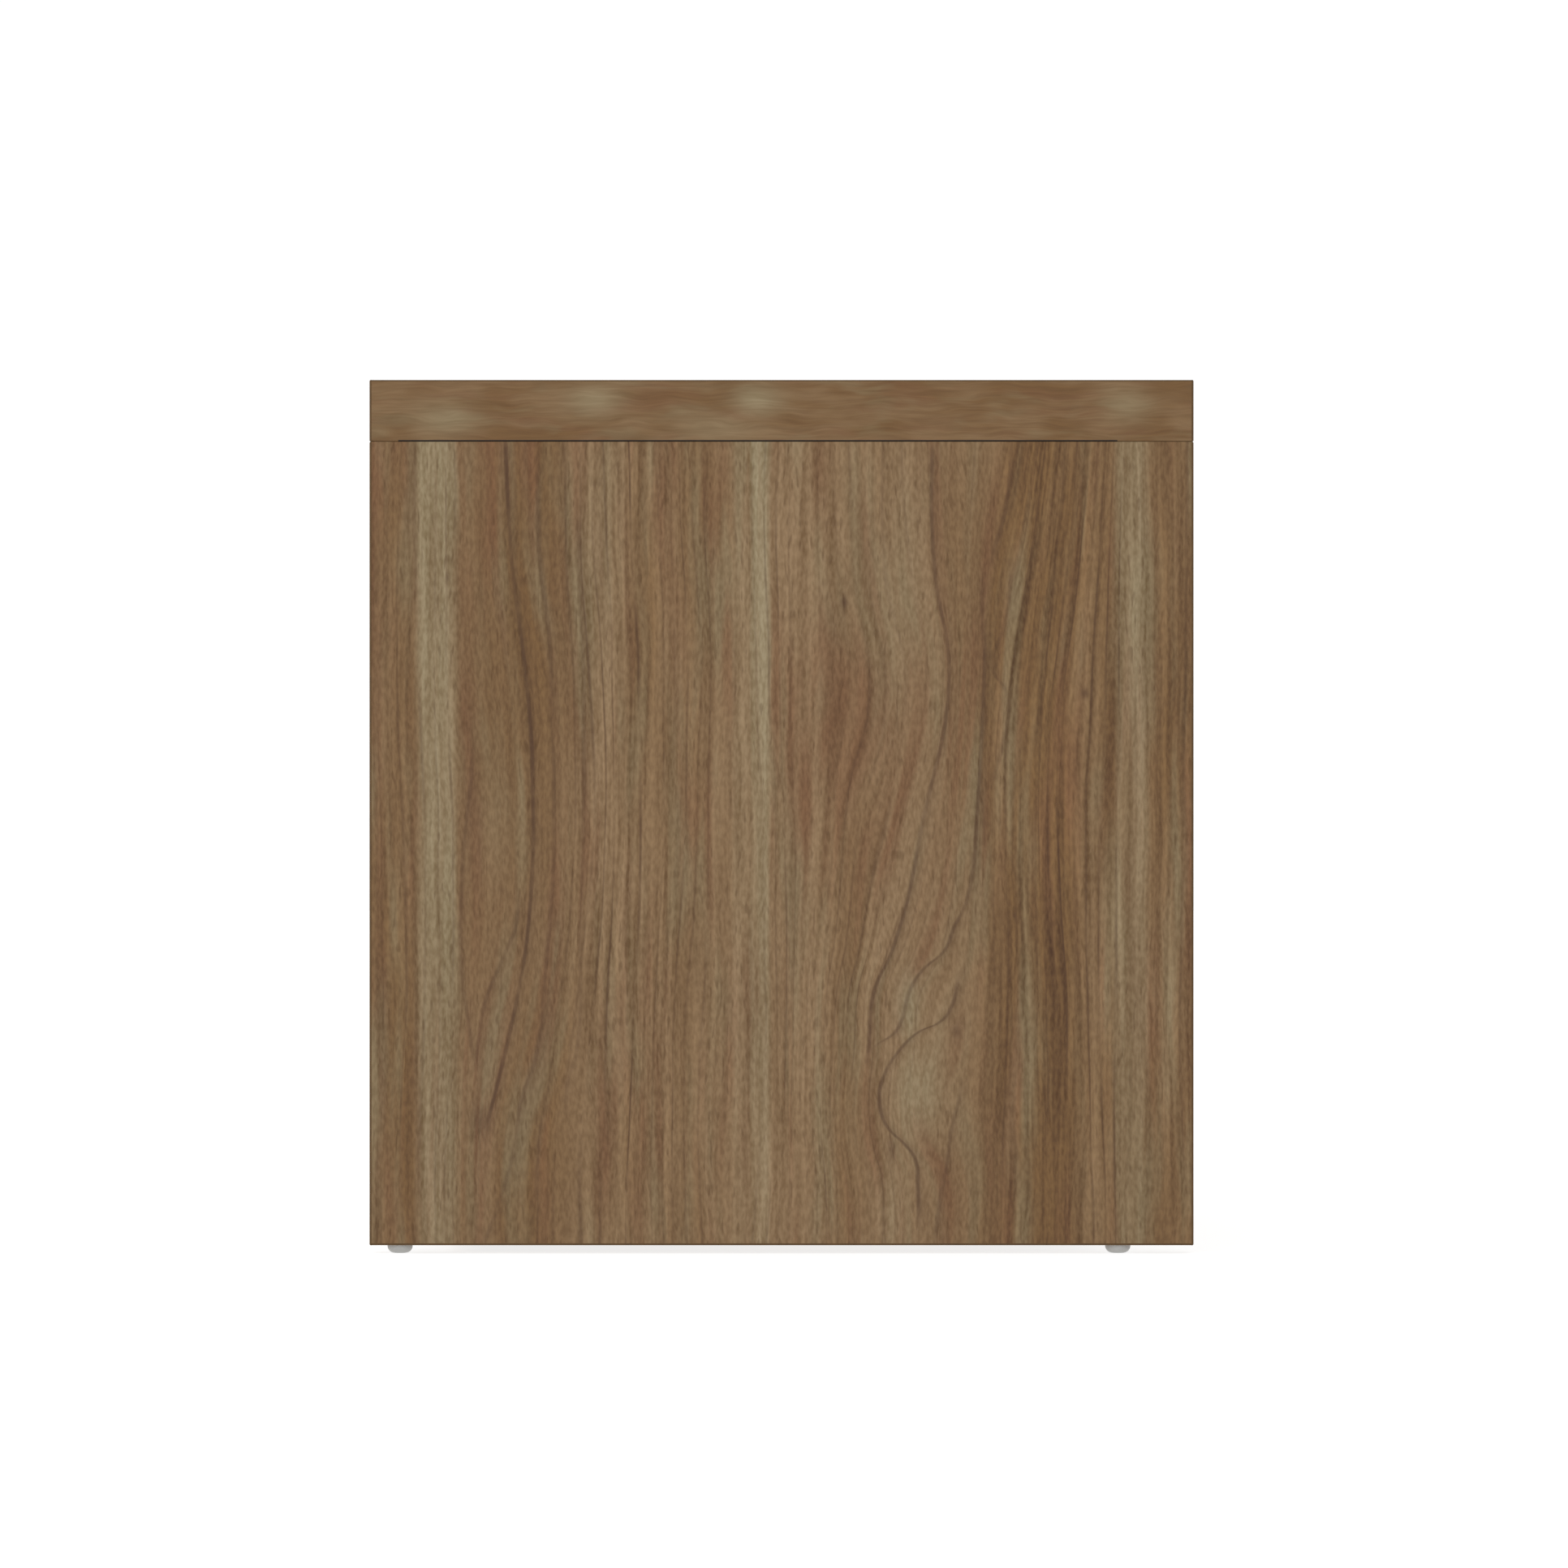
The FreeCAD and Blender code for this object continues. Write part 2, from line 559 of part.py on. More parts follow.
def make_cams():
    """Cams in the inner boards, each hollow for its bolt's head and neck."""
    row_length = "%s - %s" % (CAM_BACK_Y, CAM_FRONT_Y)
    centre_x = "(%s - cam_reach)" % INNER_X
    cams = new_body("cams", ("0", CAM_FRONT_Y, BOTTOM_Z + " + board / 2"))
    disc = new_sketch(cams, "Disc", "XY_Plane", "-board / 2")
    add_circle(disc, (centre_x, "0"), "cam")
    pad(cams, disc, CAM_BORE + " - cam_play")
    before = cams.Shape.Volume
    hollow = new_sketch(cams, "BoltHollow", "XZ_Plane")
    head = "(bolt_head / 2 + bolt_play)"
    neck = "(bolt_neck / 2 + bolt_play / 2)"
    add_outline(hollow, ((centre_x + " - " + head, "0"), (centre_x + " + " + head, "0"),
                         (centre_x + " + cam", "0"), (centre_x + " + cam", neck),
                         (centre_x + " + " + head, neck), (centre_x + " + " + head, head),
                         (centre_x + " - " + head, head)))
    groove = cams.newObject("PartDesign::Groove", "Hollow")
    groove.Profile = hollow
    groove.ReferenceAxis = (hollow, ["H_Axis"])
    cams.Tip = groove
    document.recompute()
    if cams.Shape.Volume >= before:
        raise ValueError("the hollow of the cams cuts nothing")
    cross_recess(cams, "XY_Plane", "-board / 2", (centre_x, "0"), "cam / 4")
    spread_over_joints(cams, row_length)

    caps = new_body("cam_cover_caps", ("0", CAM_FRONT_Y, SUB_TOP_Z))
    cover = new_sketch(caps, "Cover", "XY_Plane", "-cap_height")
    add_circle(cover, (centre_x, "0"), "cap")
    base = pad(caps, cover, "cap_height")
    dress(caps, "Fillet", base, [low_rim(base)], "0.6 * cap_height")
    repeat(caps, "Y_Axis", row_length)
    mirror_across_middle(caps)


def make_cam_bolts():
    """Bolts screwed into the side panels, with their heads in the cams."""
    centre_x = "(%s - cam_reach)" % INNER_X
    bolts = new_body("cam_bolts", ("0", CAM_FRONT_Y, BOTTOM_Z + " + board / 2"))
    profile = new_sketch(bolts, "Profile", "XZ_Plane")
    head_end = centre_x + " + bolt_head / 2"
    neck_end = centre_x + " + cam / 2 + bolt_play"
    thread_end = INNER_X + " + %s - bore_end_play" % BOLT_BORE
    add_outline(profile, ((centre_x + " - bolt_head / 2", "0"),
                          (centre_x + " - bolt_head / 2", "bolt_head / 4"),
                          (centre_x + " - bolt_head / 4", "bolt_head / 2"),
                          (centre_x + " + bolt_head / 4", "bolt_head / 2"),
                          (head_end, "bolt_head / 4 + bolt_neck / 8"),
                          (head_end, "bolt_neck / 2"),
                          (neck_end, "bolt_neck / 2"),
                          (neck_end, "bolt_shaft / 2"),
                          (INNER_X, "bolt_shaft / 2"),
                          (INNER_X, "bolt_thread / 2"),
                          (thread_end + " - 1", "bolt_thread / 2"),
                          (thread_end, "bolt_thread / 2 - 1"),
                          (thread_end, "0")))
    turned_bolt = bolts.newObject("PartDesign::Revolution", "Turned")
    turned_bolt.Profile = profile
    turned_bolt.ReferenceAxis = (profile, ["H_Axis"])
    bolts.Tip = turned_bolt
    document.recompute()
    spread_over_joints(bolts, "%s - %s" % (CAM_BACK_Y, CAM_FRONT_Y))


def make_dowel(label, place, plane, centre, start):
    """Make one plain beech dowel with chamfered ends, from a start along the plane's normal."""
    dowels = new_body(label, place)
    disc = new_sketch(dowels, "Disc", plane, start)
    add_circle(disc, centre, "dowel")
    base = pad(dowels, disc, "dowel_length")
    ends = ["Edge%d" % number for number, edge in enumerate(base.Shape.Edges, start=1)
            if edge.Closed]
    dress(dowels, "Chamfer", base, ends, "dowel_chamfer")
    return dowels


def make_dowels():
    """Dowels between sides and inner boards, sides and rail, and sides and top."""
    inward = "%s - %s" % (INNER_X, DOWEL_LONG_END)
    centre = ("0", "0")
    boards = make_dowel("board_dowels", ("0", DOWEL_FRONT_Y, BOTTOM_Z + " + board / 2"), "YZ_Plane",
                        centre, inward)
    spread_over_joints(boards, "%s - %s" % (DOWEL_BACK_Y, DOWEL_FRONT_Y))
    plinth = make_dowel("plinth_dowels", ("0", PLINTH_FRONT_Y + " + board / 2",
                                          "glide_height + plinth_height / 2"),
                        "YZ_Plane", centre, inward)
    mirror_across_middle(plinth)
    top = make_dowel("top_dowels", ("0", TOP_DOWEL_FRONT_Y, SIDE_TOP_Z), "XY_Plane",
                     ("unit_width / 2 - board / 2", "0"), "-" + DOWEL_LONG_END)
    repeat(top, "Y_Axis", "%s - %s" % (TOP_DOWEL_BACK_Y, TOP_DOWEL_FRONT_Y))
    mirror_across_middle(top)


def make_top_screws():
    """Countersunk screws, up through the sub-top board into the battens."""
    column_x = "(%s - top_screw_inset)" % INNER_X
    head_depth = "(top_screw_head - top_screw) / 2"
    screws = turned("top_screws", ("-" + column_x, TOP_SCREW_FRONT_Y, SUB_TOP_Z), "XZ_Plane",
                    (("0", "0"), ("top_screw_head / 2", "0"), ("top_screw / 2", head_depth),
                     ("top_screw / 2", TOP_SCREW_LENGTH + " - top_screw"),
                     ("0", TOP_SCREW_LENGTH)))
    cross_recess(screws, "XY_Plane", "0", ("0", "0"), "top_screw_head / 4")
    repeat(screws, "X_Axis", "2 * " + column_x)
    repeat(screws, "Y_Axis", "%s - %s" % (TOP_SCREW_BACK_Y, TOP_SCREW_FRONT_Y))


def make_brackets():
    """Pressed-steel corner brackets between the rail and the bottom board, with their screws."""
    for hand, sign in (("left", "-"), ("right", "")):
        bracket = new_body(hand + "_corner_bracket",
                           ("%s%s - bracket_width / 2" % (sign, BRACKET_X), RAIL_BACK_Y, BOTTOM_Z))
        section = new_sketch(bracket, "Section", "YZ_Plane")
        add_outline(section, (("0", "0"), ("bracket_leg", "0"), ("bracket_leg", "-bracket_sheet"),
                              ("bracket_sheet", "-bracket_sheet"),
                              ("bracket_sheet", "-bracket_leg"), ("0", "-bracket_leg")))
        base = pad(bracket, section, "bracket_width")
        sheet = sheet_size("bracket_sheet")
        bend = []
        for number, edge in enumerate(base.Shape.Edges, start=1):
            middle = edge.CenterOfMass
            if abs(middle.y - sheet) < NEAR and abs(middle.z + sheet) < NEAR:
                bend.append("Edge%d" % number)
        dress(bracket, "Fillet", base, bend, "bracket_bend")
        columns = ["bracket_width / 2 %s bracket_hole_pitch / 2" % step for step in "-+"]
        bore(bracket, "BoardHoles", "XY_Plane", "0", False,
             [(column, BRACKET_HOLE) for column in columns], "bracket_screw", "bracket_sheet")
        bore(bracket, "RailHoles", "XZ_Plane", "0", False,
             [(column, "-" + BRACKET_HOLE) for column in columns], "bracket_screw",
             "bracket_sheet")


def pan_head_screw(label, place, plane, sign):
    """Screw with a domed head: its point lies on the sign side of the plane's vertical axis."""
    tip = sign + "bracket_screw_length"
    shoulder = sign + "(bracket_screw_length - bracket_screw)"
    head = ("-" if sign == "" else "") + "bracket_screw_rise"
    return turned(label, place, plane,
                  (("0", head), ("bracket_screw_head / 4", head),
                   ("bracket_screw_head / 2", head + " / 2"), ("bracket_screw_head / 2", "0"),
                   ("bracket_screw / 2", "0"), ("bracket_screw / 2", shoulder), ("0", tip)))


def make_bracket_screws():
    """Screws of both brackets: up into the bottom board, and forward into the rail."""
    first_x = "-%s - bracket_hole_pitch / 2" % BRACKET_X
    upward = pan_head_screw("bracket_board_screws",
                            (first_x, RAIL_BACK_Y + " + " + BRACKET_HOLE,
                             BOTTOM_Z + " - bracket_sheet"), "XZ_Plane", "")
    cross_recess(upward, "XY_Plane", "-bracket_screw_rise", ("0", "0"), "bracket_screw_head / 4")
    forward = pan_head_screw("bracket_rail_screws",
                             (first_x, RAIL_BACK_Y + " + bracket_sheet",
                              "%s - %s" % (BOTTOM_Z, BRACKET_HOLE)), "XY_Plane", "-")
    cross_recess(forward, "XZ_Plane", "-bracket_screw_rise", ("0", "0"), "bracket_screw_head / 4")
    for screws in (upward, forward):
        repeat(screws, "X_Axis", "bracket_hole_pitch")
        repeat(screws, "X_Axis", "2 * " + BRACKET_X)


def make_back_nails():
    """Flat-headed nails through the back into the rear edges of the inner boards."""
    column_x = "(%s - back_nail_inset)" % INNER_X
    nails = turned("back_nails", ("-" + column_x, INNER_BACK_Y + " + back", BOTTOM_Z + " + board / 2"),
                   "XY_Plane",
                   (("0", "back_nail_rise"), ("back_nail_head / 2", "back_nail_rise"),
                    ("back_nail_head / 2", "0"), ("back_nail / 2", "0"),
                    ("back_nail / 2", "2 * back_nail - back_nail_length"),
                    ("0", "-back_nail_length")))
    repeat(nails, "X_Axis", "2 * " + column_x, BACK_NAILS_IN_ROW)
    repeat(nails, "Z_Axis", SUB_TOP_RISE)


def check_document():
    """Stop when an object failed to compute or a sub-part has no valid shape."""
    for thing in document.Objects:
        if "Invalid" in thing.State or "Error" in thing.State:
            raise ValueError("%s did not compute" % thing.Label)
    for piece in pieces:
        if piece.Shape.isNull() or not piece.Shape.isValid():
            raise ValueError("%s has no valid shape" % piece.Label)


def write_pieces():
    """Write one STEP file for each sub-part, named by its label."""
    os.makedirs("parts", exist_ok=True)
    for piece in pieces:
        piece.Shape.exportStep("parts/%s.step" % piece.Label)
        print("%-24s %d solid(s)" % (piece.Label, len(piece.Shape.Solids)))


make_sheet()
for side_name in ("left", "right"):
    make_side_panel(side_name)
    make_side_bands(side_name)
make_sub_top()
make_bottom()
make_plinth()
make_back()
make_top()
make_top_bands()
make_glides()
make_cams()
make_cam_bolts()
make_dowels()
make_top_screws()
make_brackets()
make_bracket_screws()
make_back_nails()
document.recompute()
check_document()
write_pieces()
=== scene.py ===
import math
from functools import partial

import bmesh
import bpy
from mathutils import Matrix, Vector


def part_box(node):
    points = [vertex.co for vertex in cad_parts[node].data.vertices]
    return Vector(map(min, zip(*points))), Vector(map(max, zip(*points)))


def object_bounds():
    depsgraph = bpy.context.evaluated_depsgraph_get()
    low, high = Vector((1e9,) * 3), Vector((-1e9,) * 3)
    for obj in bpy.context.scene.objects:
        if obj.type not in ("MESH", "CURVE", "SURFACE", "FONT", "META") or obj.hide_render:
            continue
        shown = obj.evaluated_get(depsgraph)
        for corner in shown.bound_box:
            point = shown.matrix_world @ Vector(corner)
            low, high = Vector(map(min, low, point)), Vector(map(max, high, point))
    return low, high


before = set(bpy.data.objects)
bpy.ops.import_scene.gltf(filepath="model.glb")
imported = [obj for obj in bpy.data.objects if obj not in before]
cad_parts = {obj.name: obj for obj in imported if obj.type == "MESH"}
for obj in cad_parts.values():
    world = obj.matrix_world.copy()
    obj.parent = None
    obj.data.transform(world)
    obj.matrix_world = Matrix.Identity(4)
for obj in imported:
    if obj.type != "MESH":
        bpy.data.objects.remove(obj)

bl_info = {
    "name": "Cube Storage Unit Looks",
    "version": (1, 0, 0),
    "blender": (4, 5, 0),
    "location": "View3D > Sidebar > Cube Unit",
    "description": "Walnut-printed boards, edge bands, fittings and a studio for a cube unit",
    "category": "Object",
}

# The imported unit's box, before anything is added to it.
CAD_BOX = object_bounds()
LOW, HIGH = CAD_BOX
MM = 0.001
X, Y, Z = 0, 1, 2

# The decor sheet: one repeat of the printed walnut, in mm. Across runs from the sheet's middle,
# along from its lower end, and past an edge the print is mirrored.
SHEET = 400.0
HALF_SHEET = SHEET / 2
# How the fibres bend: lines that run with them, each given as the place across at places along.
# A line's bend fades out sideways, between the two places across that follow it.
BENDS = (
    (((0, -146), (62, -142), (84, -137), (131, -127), (163, -122.5), (214, -120.5), (273, -123),
      (332, -130), (400, -134)), -128, -162, -72),
    (((0, 50), (39, 47), (50, 42), (69, 38), (98, 42), (127, 45), (147, 54), (214, 69.7),
      (281, 81), (332, 74), (400, 73.5)), 62, -2, 112),
    (((0, 113), (60, 114.5), (125, 113.5), (190, 112.5), (240, 114), (290, 119.5), (340, 127),
      (400, 136.5)), 118, 68, 178),
)
# Veins: dark lines at places across for places along, how dark they are, and where they end.
VEINS = (
    (BENDS[0][0], 0.82, 62, 400),
    (((0, -146), (24, -137), (50, -129.5), (74, -126), (95, -119), (141, -114), (200, -110.5),
      (270, -111.5), (306, -113), (333, -116.7), (400, -118)), 0.42, 2, 390),
    (((0, -104), (82, -103.6), (99, -99), (150, -97), (230, -96), (280, -96), (347, -98.5),
      (400, -99)), 0.34, 70, 360),
    (((0, -149), (92, -148.3), (104, -147), (120, -144.5), (144, -135), (160, -129), (400, -126)),
     0.5, 90, 172),
    (((0, -149), (92, -149.5), (121, -153.5), (136, -155.5), (201, -154), (233, -150.5),
      (400, -149)), 0.4, 92, 245),
    (BENDS[1][0], 0.72, 94, 392),
    (((0, 42), (98, 43), (108, 55.8), (130, 63.5), (138, 69), (147, 79), (159, 84), (170, 89.4),
      (214, 95), (400, 98)), 0.62, 97, 300),
    (((0, 66), (33, 66.2), (46, 64.9), (53, 59.7), (62, 50.6), (72, 47.4), (82, 48),
      (100, 58.4), (108, 67.4), (112, 76.5), (118, 81.6), (140, 86), (400, 90)), 0.7, 12, 134),
    (((0, 74), (11, 75), (30, 77.7), (43, 80.3), (62, 83), (78, 86.8), (400, 92)), 0.45, 4, 84),
    (((0, 97), (201, 98), (253, 97), (284, 98.4), (323, 97.2), (400, 97)), 0.36, 195, 330),
    (((0, 101), (227, 102.3), (246, 107.5), (271, 110), (285, 102.3), (305, 108.8),
      (328, 111.4), (400, 112)), 0.4, 224, 335),
    (((0, 101), (336, 102.3), (361, 108.8), (400, 111.5)), 0.45, 334, 400),
)
# Pale sapwood bands: place across, half width, and strength at the sheet's lower and upper end.
SAPWOOD = ((-167.4, 9.2, 0.62, 0.95), (-10.6, 4.9, 0.38, 1.1), (169.8, 7.6, 0.42, 0.6),
           (-19.5, 4.5, 0.12, 0.3))
# Tone of the heartwood across the sheet, from 0 for the darkest to 1 for the palest.
TONE = ((-200, 0.28), (-182, 0.42), (-150, 0.48), (-130, 0.2), (-106, 0.5), (-86, 0.9),
        (-60, 0.45), (-36, 0.66), (12, 1.0), (32, 0.62), (58, 0.92), (82, 0.6), (104, 0.25),
        (134, 0.0), (150, 0.32), (160, 0.14), (184, 0.3), (200, 0.25))
# How strongly the fibres stripe the sheet at places across it, from 0 to 1.
STRIPING = ((-200, 0.6), (-165, 0.55), (-145, 0.28), (-120, 0.4), (-100, 0.52), (-82, 0.82),
            (-60, 0.74), (-38, 0.48), (-10, 0.6), (20, 0.56), (45, 0.52), (65, 0.26), (90, 0.34),
            (105, 0.68), (122, 1.0), (145, 0.86), (160, 0.68), (175, 0.64), (200, 0.88))
# Pale clouds inside the figure: across, along, radii and strength.
CLOUDS = ((61, 120, 6, 17, 0.95), (66, 80, 11, 20, 0.8), (-86, 340, 9, 60, 0.4),
          (-142, 212, 10, 30, 0.25), (56, 330, 14, 50, 0.3), (53, 24, 5, 22, 0.4))
# Pin knots and bark smudges: across, along, radii and darkness.
KNOTS = ((30.5, 316, 1.3, 3.4, 0.75), (147, 272, 2.4, 2.8, 0.55), (85, 108, 2.4, 4.0, 0.45),
         (-146, 64, 5.0, 7.5, 0.42), (113, 164, 1.2, 2.0, 0.6), (-162, 328, 1.0, 2.4, 0.4),
         (53.5, 51, 2.2, 6.5, 0.4))

# Each board's axes across and along its grain, which part of the decor sheet it is cut from, as
# the sheet's offset across and along in mm, and a number that sets its fine grain apart.
BOARDS = {
    "right_side_panel": (Y, Z, 0, 0, 0),
    "left_side_panel": (Y, Z, 400, 400, 11),
    "top_board": (Y, X, 400, 200, 23),
    "sub_top_board": (Y, X, 400, 600, 31),
    "bottom_board": (Y, X, 0, 600, 37),
    "plinth_rail": (Z, X, 30, 600, 41),
    "back_panel": (X, Z, 400, 0, 43),
    "top_batten_front": (Y, X, 15, 270, 47),
    "top_batten_back": (Y, X, 340, 480, 53),
    "top_batten_left": (X, Y, 190, 300, 59),
    "top_batten_right": (X, Y, -60, 700, 61),
}
# The slab's end bands, whose lower rim carries a painted shadow line where the boards below stand
# behind the seam.
SLAB_ENDS = ("top_left_band", "top_right_band")
DOWEL_AXES = {"board_dowels": X, "plinth_dowels": X, "top_dowels": Z}
# Streaks of fibre on the boards and on the slab's bands: how wide and long in mm they are, how
# much they lighten and darken, and a number that sets each layer apart.
BOARD_STREAKS = ((10.0, 180.0, 0.09, 37.0), (4.4, 190.0, 0.26, 41.0), (2.6, 90.0, 0.20, 43.0),
                 (2.0, 28.0, 0.13, 45.0))
BAND_STREAKS = ((1.6, 30.0, 0.10, 89.0), (0.9, 14.0, 0.06, 97.0))
# Pale clouds on the slab's bands: place along, height, half length and strength.
BAND_CLOUDS = ((-163, 11, 15, 0.7), (-91, 20, 14, 0.75), (-12, 20, 12, 0.85), (-32, 7, 22, 0.4),
               (168, 18, 11, 0.6))
BAND_CLOUD_HALF_HEIGHT = 8.0
# How far a streak's shade changes red, green and blue.
INK_SHADE = (0.81, 1.0, 1.36)
# The speckle between pores: its width and length in mm, and how much it lightens and darkens.
SPECKLE_SIZE = (1.5, 4.5)
SPECKLE = 0.16
# A vein, in mm. It is darkest up to its core's half width from its middle, and has faded away at
# its own half width. A shadow reaches further on its outer side. It starts to show at its lead
# before a start, and is whole at its rise past it, and runs out the same way.
VEIN_CORE = 0.3
VEIN_HALF_WIDTH = 1.8
VEIN_SHADOW = 5.5
VEIN_RISE = 10.0
VEIN_LEAD = 6.0
# How dark the veins and the pores may become, from 0 to 1.
VEIN_DARKNESS = 0.86
PORE_DARKNESS = 0.32
# How far a seed one higher moves a board's or a band's fine grain through the noise.
BOARD_SEED_STEP = 3.7
BAND_SEED_STEP = 5.3
# The printed faces' sheen: roughness between pores, how much duller a pore is, specular level.
SATIN = 0.42
PORE_DULLNESS = 0.12
FILM_GLOSS = 0.35
# The finest texture on a printed face, as streaks so many mm wide and long, and the depth in mm of
# the relief on the boards' and the bands' faces and sides.
FILM_GRAIN = (0.8, 12.0)
FILM_RELIEF = 0.08
# The setting of a Map Range node that eases in and out.
SMOOTH = {"interpolation_type": "SMOOTHSTEP"}
# How far in mm a board's and a band's print reach from their faces, and how high a slab end's
# painted shadow line is.
SKIN = 0.3
PRINT_FILM = 0.15
RIM_HEIGHT = 0.8
# How far down in mm a slab end's upper edge is scraped bare after banding.
SCRAPE = 0.7
# The studio, in metres: half the floor's side and its cells along a side, each softbox's place
# and side, and how far the camera stands to the unit's back, how high, and how far it sees.
FLOOR_HALF = 9.0
FLOOR_CELLS = 8
KEY_BOX = ((1.6, -2.2, 3.0), 2.4)
FILL_BOX = ((-0.4, -3.0, 1.1), 1.6)
CAMERA_SIDE = 0.0012
CAMERA_HEIGHT = 0.2279
CAMERA_REACH = 100.0
SENSOR_WIDTH_MM = 36.0
WHITE = (1.0, 1.0, 1.0, 1.0)


def linear(hex_colour):
    """Turn an sRGB hex colour into the linear red, green and blue that shaders work in."""
    parts = [int(hex_colour[place:place + 2], 16) / 255 for place in (0, 2, 4)]
    return tuple(part / 12.92 if part <= 0.04045 else ((part + 0.055) / 1.055) ** 2.4
                 for part in parts)


def colour_property(name, description, hex_colour):
    """Describe a colour that a user can change."""
    return bpy.props.FloatVectorProperty(name=name, description=description, subtype="COLOR",
                                         size=3, min=0.0, max=1.0, default=linear(hex_colour))


def number_property(name, description, default, most, **kind):
    """Describe a size or strength that a user can change."""
    return bpy.props.FloatProperty(name=name, description=description, default=default,
                                   min=0.0, max=most, **kind)


class CubeWalnutPrint(bpy.types.PropertyGroup):
    """Colours and sizes of the walnut decor printed on the boards and bands."""
    dark: colour_property("Dark heartwood", "Darkest stretches between growth lines", "664824")
    pale: colour_property("Pale heartwood", "Palest stretches between growth lines", "7D6344")
    red: colour_property("Red heartwood", "Warm, redder streaks", "6A4729")
    olive: colour_property("Olive heartwood", "Cool, greener streaks", "756446")
    sapwood: colour_property("Sapwood", "Pale bands along the staves' sides", "857557")
    vein: colour_property("Vein", "Dark lines along some growth rings", "3E2108")
    pore: colour_property("Pore", "Short open pores along the grain", "442804")
    ring_spacing: number_property("Ring spacing", "Distance between growth lines, in mm", 6.0, 30.0)
    # A real pore is 0.2 mm wide. It is drawn wider, so that it shows from a few metres away.
    pore_width: number_property("Pore width", "Width of a pore across the grain, in mm", 1.7, 5.0)
    pore_length: number_property("Pore length", "Length of a pore along the grain, in mm", 9.0,
                                 60.0)


class CubePlainFinishes(bpy.types.PropertyGroup):
    """Colours of the pieces that carry no print."""
    band_body: colour_property("Band body", "Edge band plastic behind its printed face", "4F3714")
    # This is painted shadow: the near-black line along a slab end's lower rim, where the seam lies
    # in shade.
    seam_shadow: colour_property("Glue line", "Hot-melt glue pressed out of a clamped joint", "120600")
    chip: colour_property("Chip", "Pale chips of the particle board's core", "B8976B")
    chip_dark: colour_property("Dark chip", "Bark and resin in the particle board's core", "6E5236")
    hardboard: colour_property("Hardboard", "Rough rear of the thin fibreboard", "7C5F42")
    fibre: colour_property("Hardboard fibre", "Pale fibres in the fibreboard", "9C7F5E")
    glide: colour_property("Glide", "Polyethylene of the glides", "A2A19E")
    cap: colour_property("Cap", "Plastic of the cam cover caps", "5A442F")
    zinc: colour_property("Die-cast zinc", "Cams and cam bolts", "B4B6B8")
    plating: colour_property("Zinc plating", "Screws, nails and brackets", "C3C6C8")
    beech: colour_property("Beech", "Dowels", "C9A274")
    fleck: colour_property("Beech fleck", "Darker rays in the dowels", "9E744A")


class CubeStudio(bpy.types.PropertyGroup):
    """Floor, lights and camera."""
    floor: colour_property("Floor", "Opal acrylic of the light table, unlit", "8C8C8B")
    sky: number_property("Sky", "Brightness of the white surroundings", 1.02, 5.0)
    table: number_property("Light table", "Glow of the floor from below", 0.8, 5.0)
    key: number_property("Key", "Power of the large overhead softbox, in watts", 24.0, 1000.0)
    fill: number_property("Fill", "Power of the softbox before the open side, in watts", 24.0,
                          1000.0)
    camera_distance: number_property("Camera distance", "From the lens to the side panel", 3.406,
                                     20.0, subtype="DISTANCE", unit="LENGTH")
    lens: number_property("Lens", "Focal length on a 36 mm sensor, in mm", 161.15, 400.0)


def result(made):
    """The first output that a node shows."""
    return next(output for output in made.outputs if output.enabled)


def node(tree, kind, *inputs, **settings):
    """Add a shader node, set its properties, and set or link its shown inputs in order."""
    made = tree.nodes.new("ShaderNode" + kind)
    for name, value in settings.items():
        setattr(made, name, value)
    shown = [socket for socket in made.inputs if socket.enabled]
    for socket, value in zip(shown, inputs):
        if isinstance(value, bpy.types.Node):
            value = result(value)
        if isinstance(value, bpy.types.NodeSocket):
            tree.links.new(value, socket)
        elif value is not None:
            socket.default_value = (*value, 1.0) if socket.type == "RGBA" else value
    return made


def new_group(name, inputs, outputs):
    """Start a node group with float inputs, and outputs that are a colour or floats."""
    tree = bpy.data.node_groups.new(name, "ShaderNodeTree")
    for socket in inputs:
        tree.interface.new_socket(socket, in_out="INPUT", socket_type="NodeSocketFloat")
    for socket in outputs:
        kind = "NodeSocketColor" if socket == "Color" else "NodeSocketFloat"
        tree.interface.new_socket(socket, in_out="OUTPUT", socket_type=kind)
    return tree, tree.nodes.new("NodeGroupInput").outputs


def hand_out(tree, **values):
    """Link a group's results to its outputs."""
    outputs = tree.nodes.new("NodeGroupOutput")
    for name, value in values.items():
        tree.links.new(result(value), outputs.inputs[name])


def streaks(tree, place, across, along, detail=2.0, shift=0.0):
    """Noise drawn out along the grain, in cells so many mm wide across it and long along it."""
    cells = node(tree, "VectorMath", place, (1 / across, 1 / along, 1.0), (shift,) * 3,
                 operation="MULTIPLY_ADD")
    return node(tree, "TexNoise", cells, 1.0, detail, 0.55)


def follow(tree, place, points):
    """A smooth line through points, both counted in shares of the sheet from 0 to 1."""
    made = node(tree, "FloatCurve", 1.0, place)
    curve = made.mapping.curves[0]
    curve.points[0].location = points[0]
    curve.points[1].location = points[-1]
    for point in points[1:-1]:
        curve.points.new(*point)
    made.mapping.update()
    return made


def soft_spot(tree, across, along, spot):
    """A soft oval round a place on the sheet: 1 in its middle, falling to 0 past its radii."""
    middle_across, middle_along, wide, tall = spot
    sideways = node(tree, "Math", across, 1 / wide, -middle_across / wide,
                    operation="MULTIPLY_ADD")
    lengthways = node(tree, "Math", along, 1 / tall, -middle_along / tall,
                      operation="MULTIPLY_ADD")
    offset = node(tree, "CombineXYZ", sideways, lengthways)
    square = node(tree, "VectorMath", offset, offset, operation="DOT_PRODUCT")
    return node(tree, "Math", node(tree, "Math", square, -1.0, operation="MULTIPLY"),
                operation="EXPONENT")


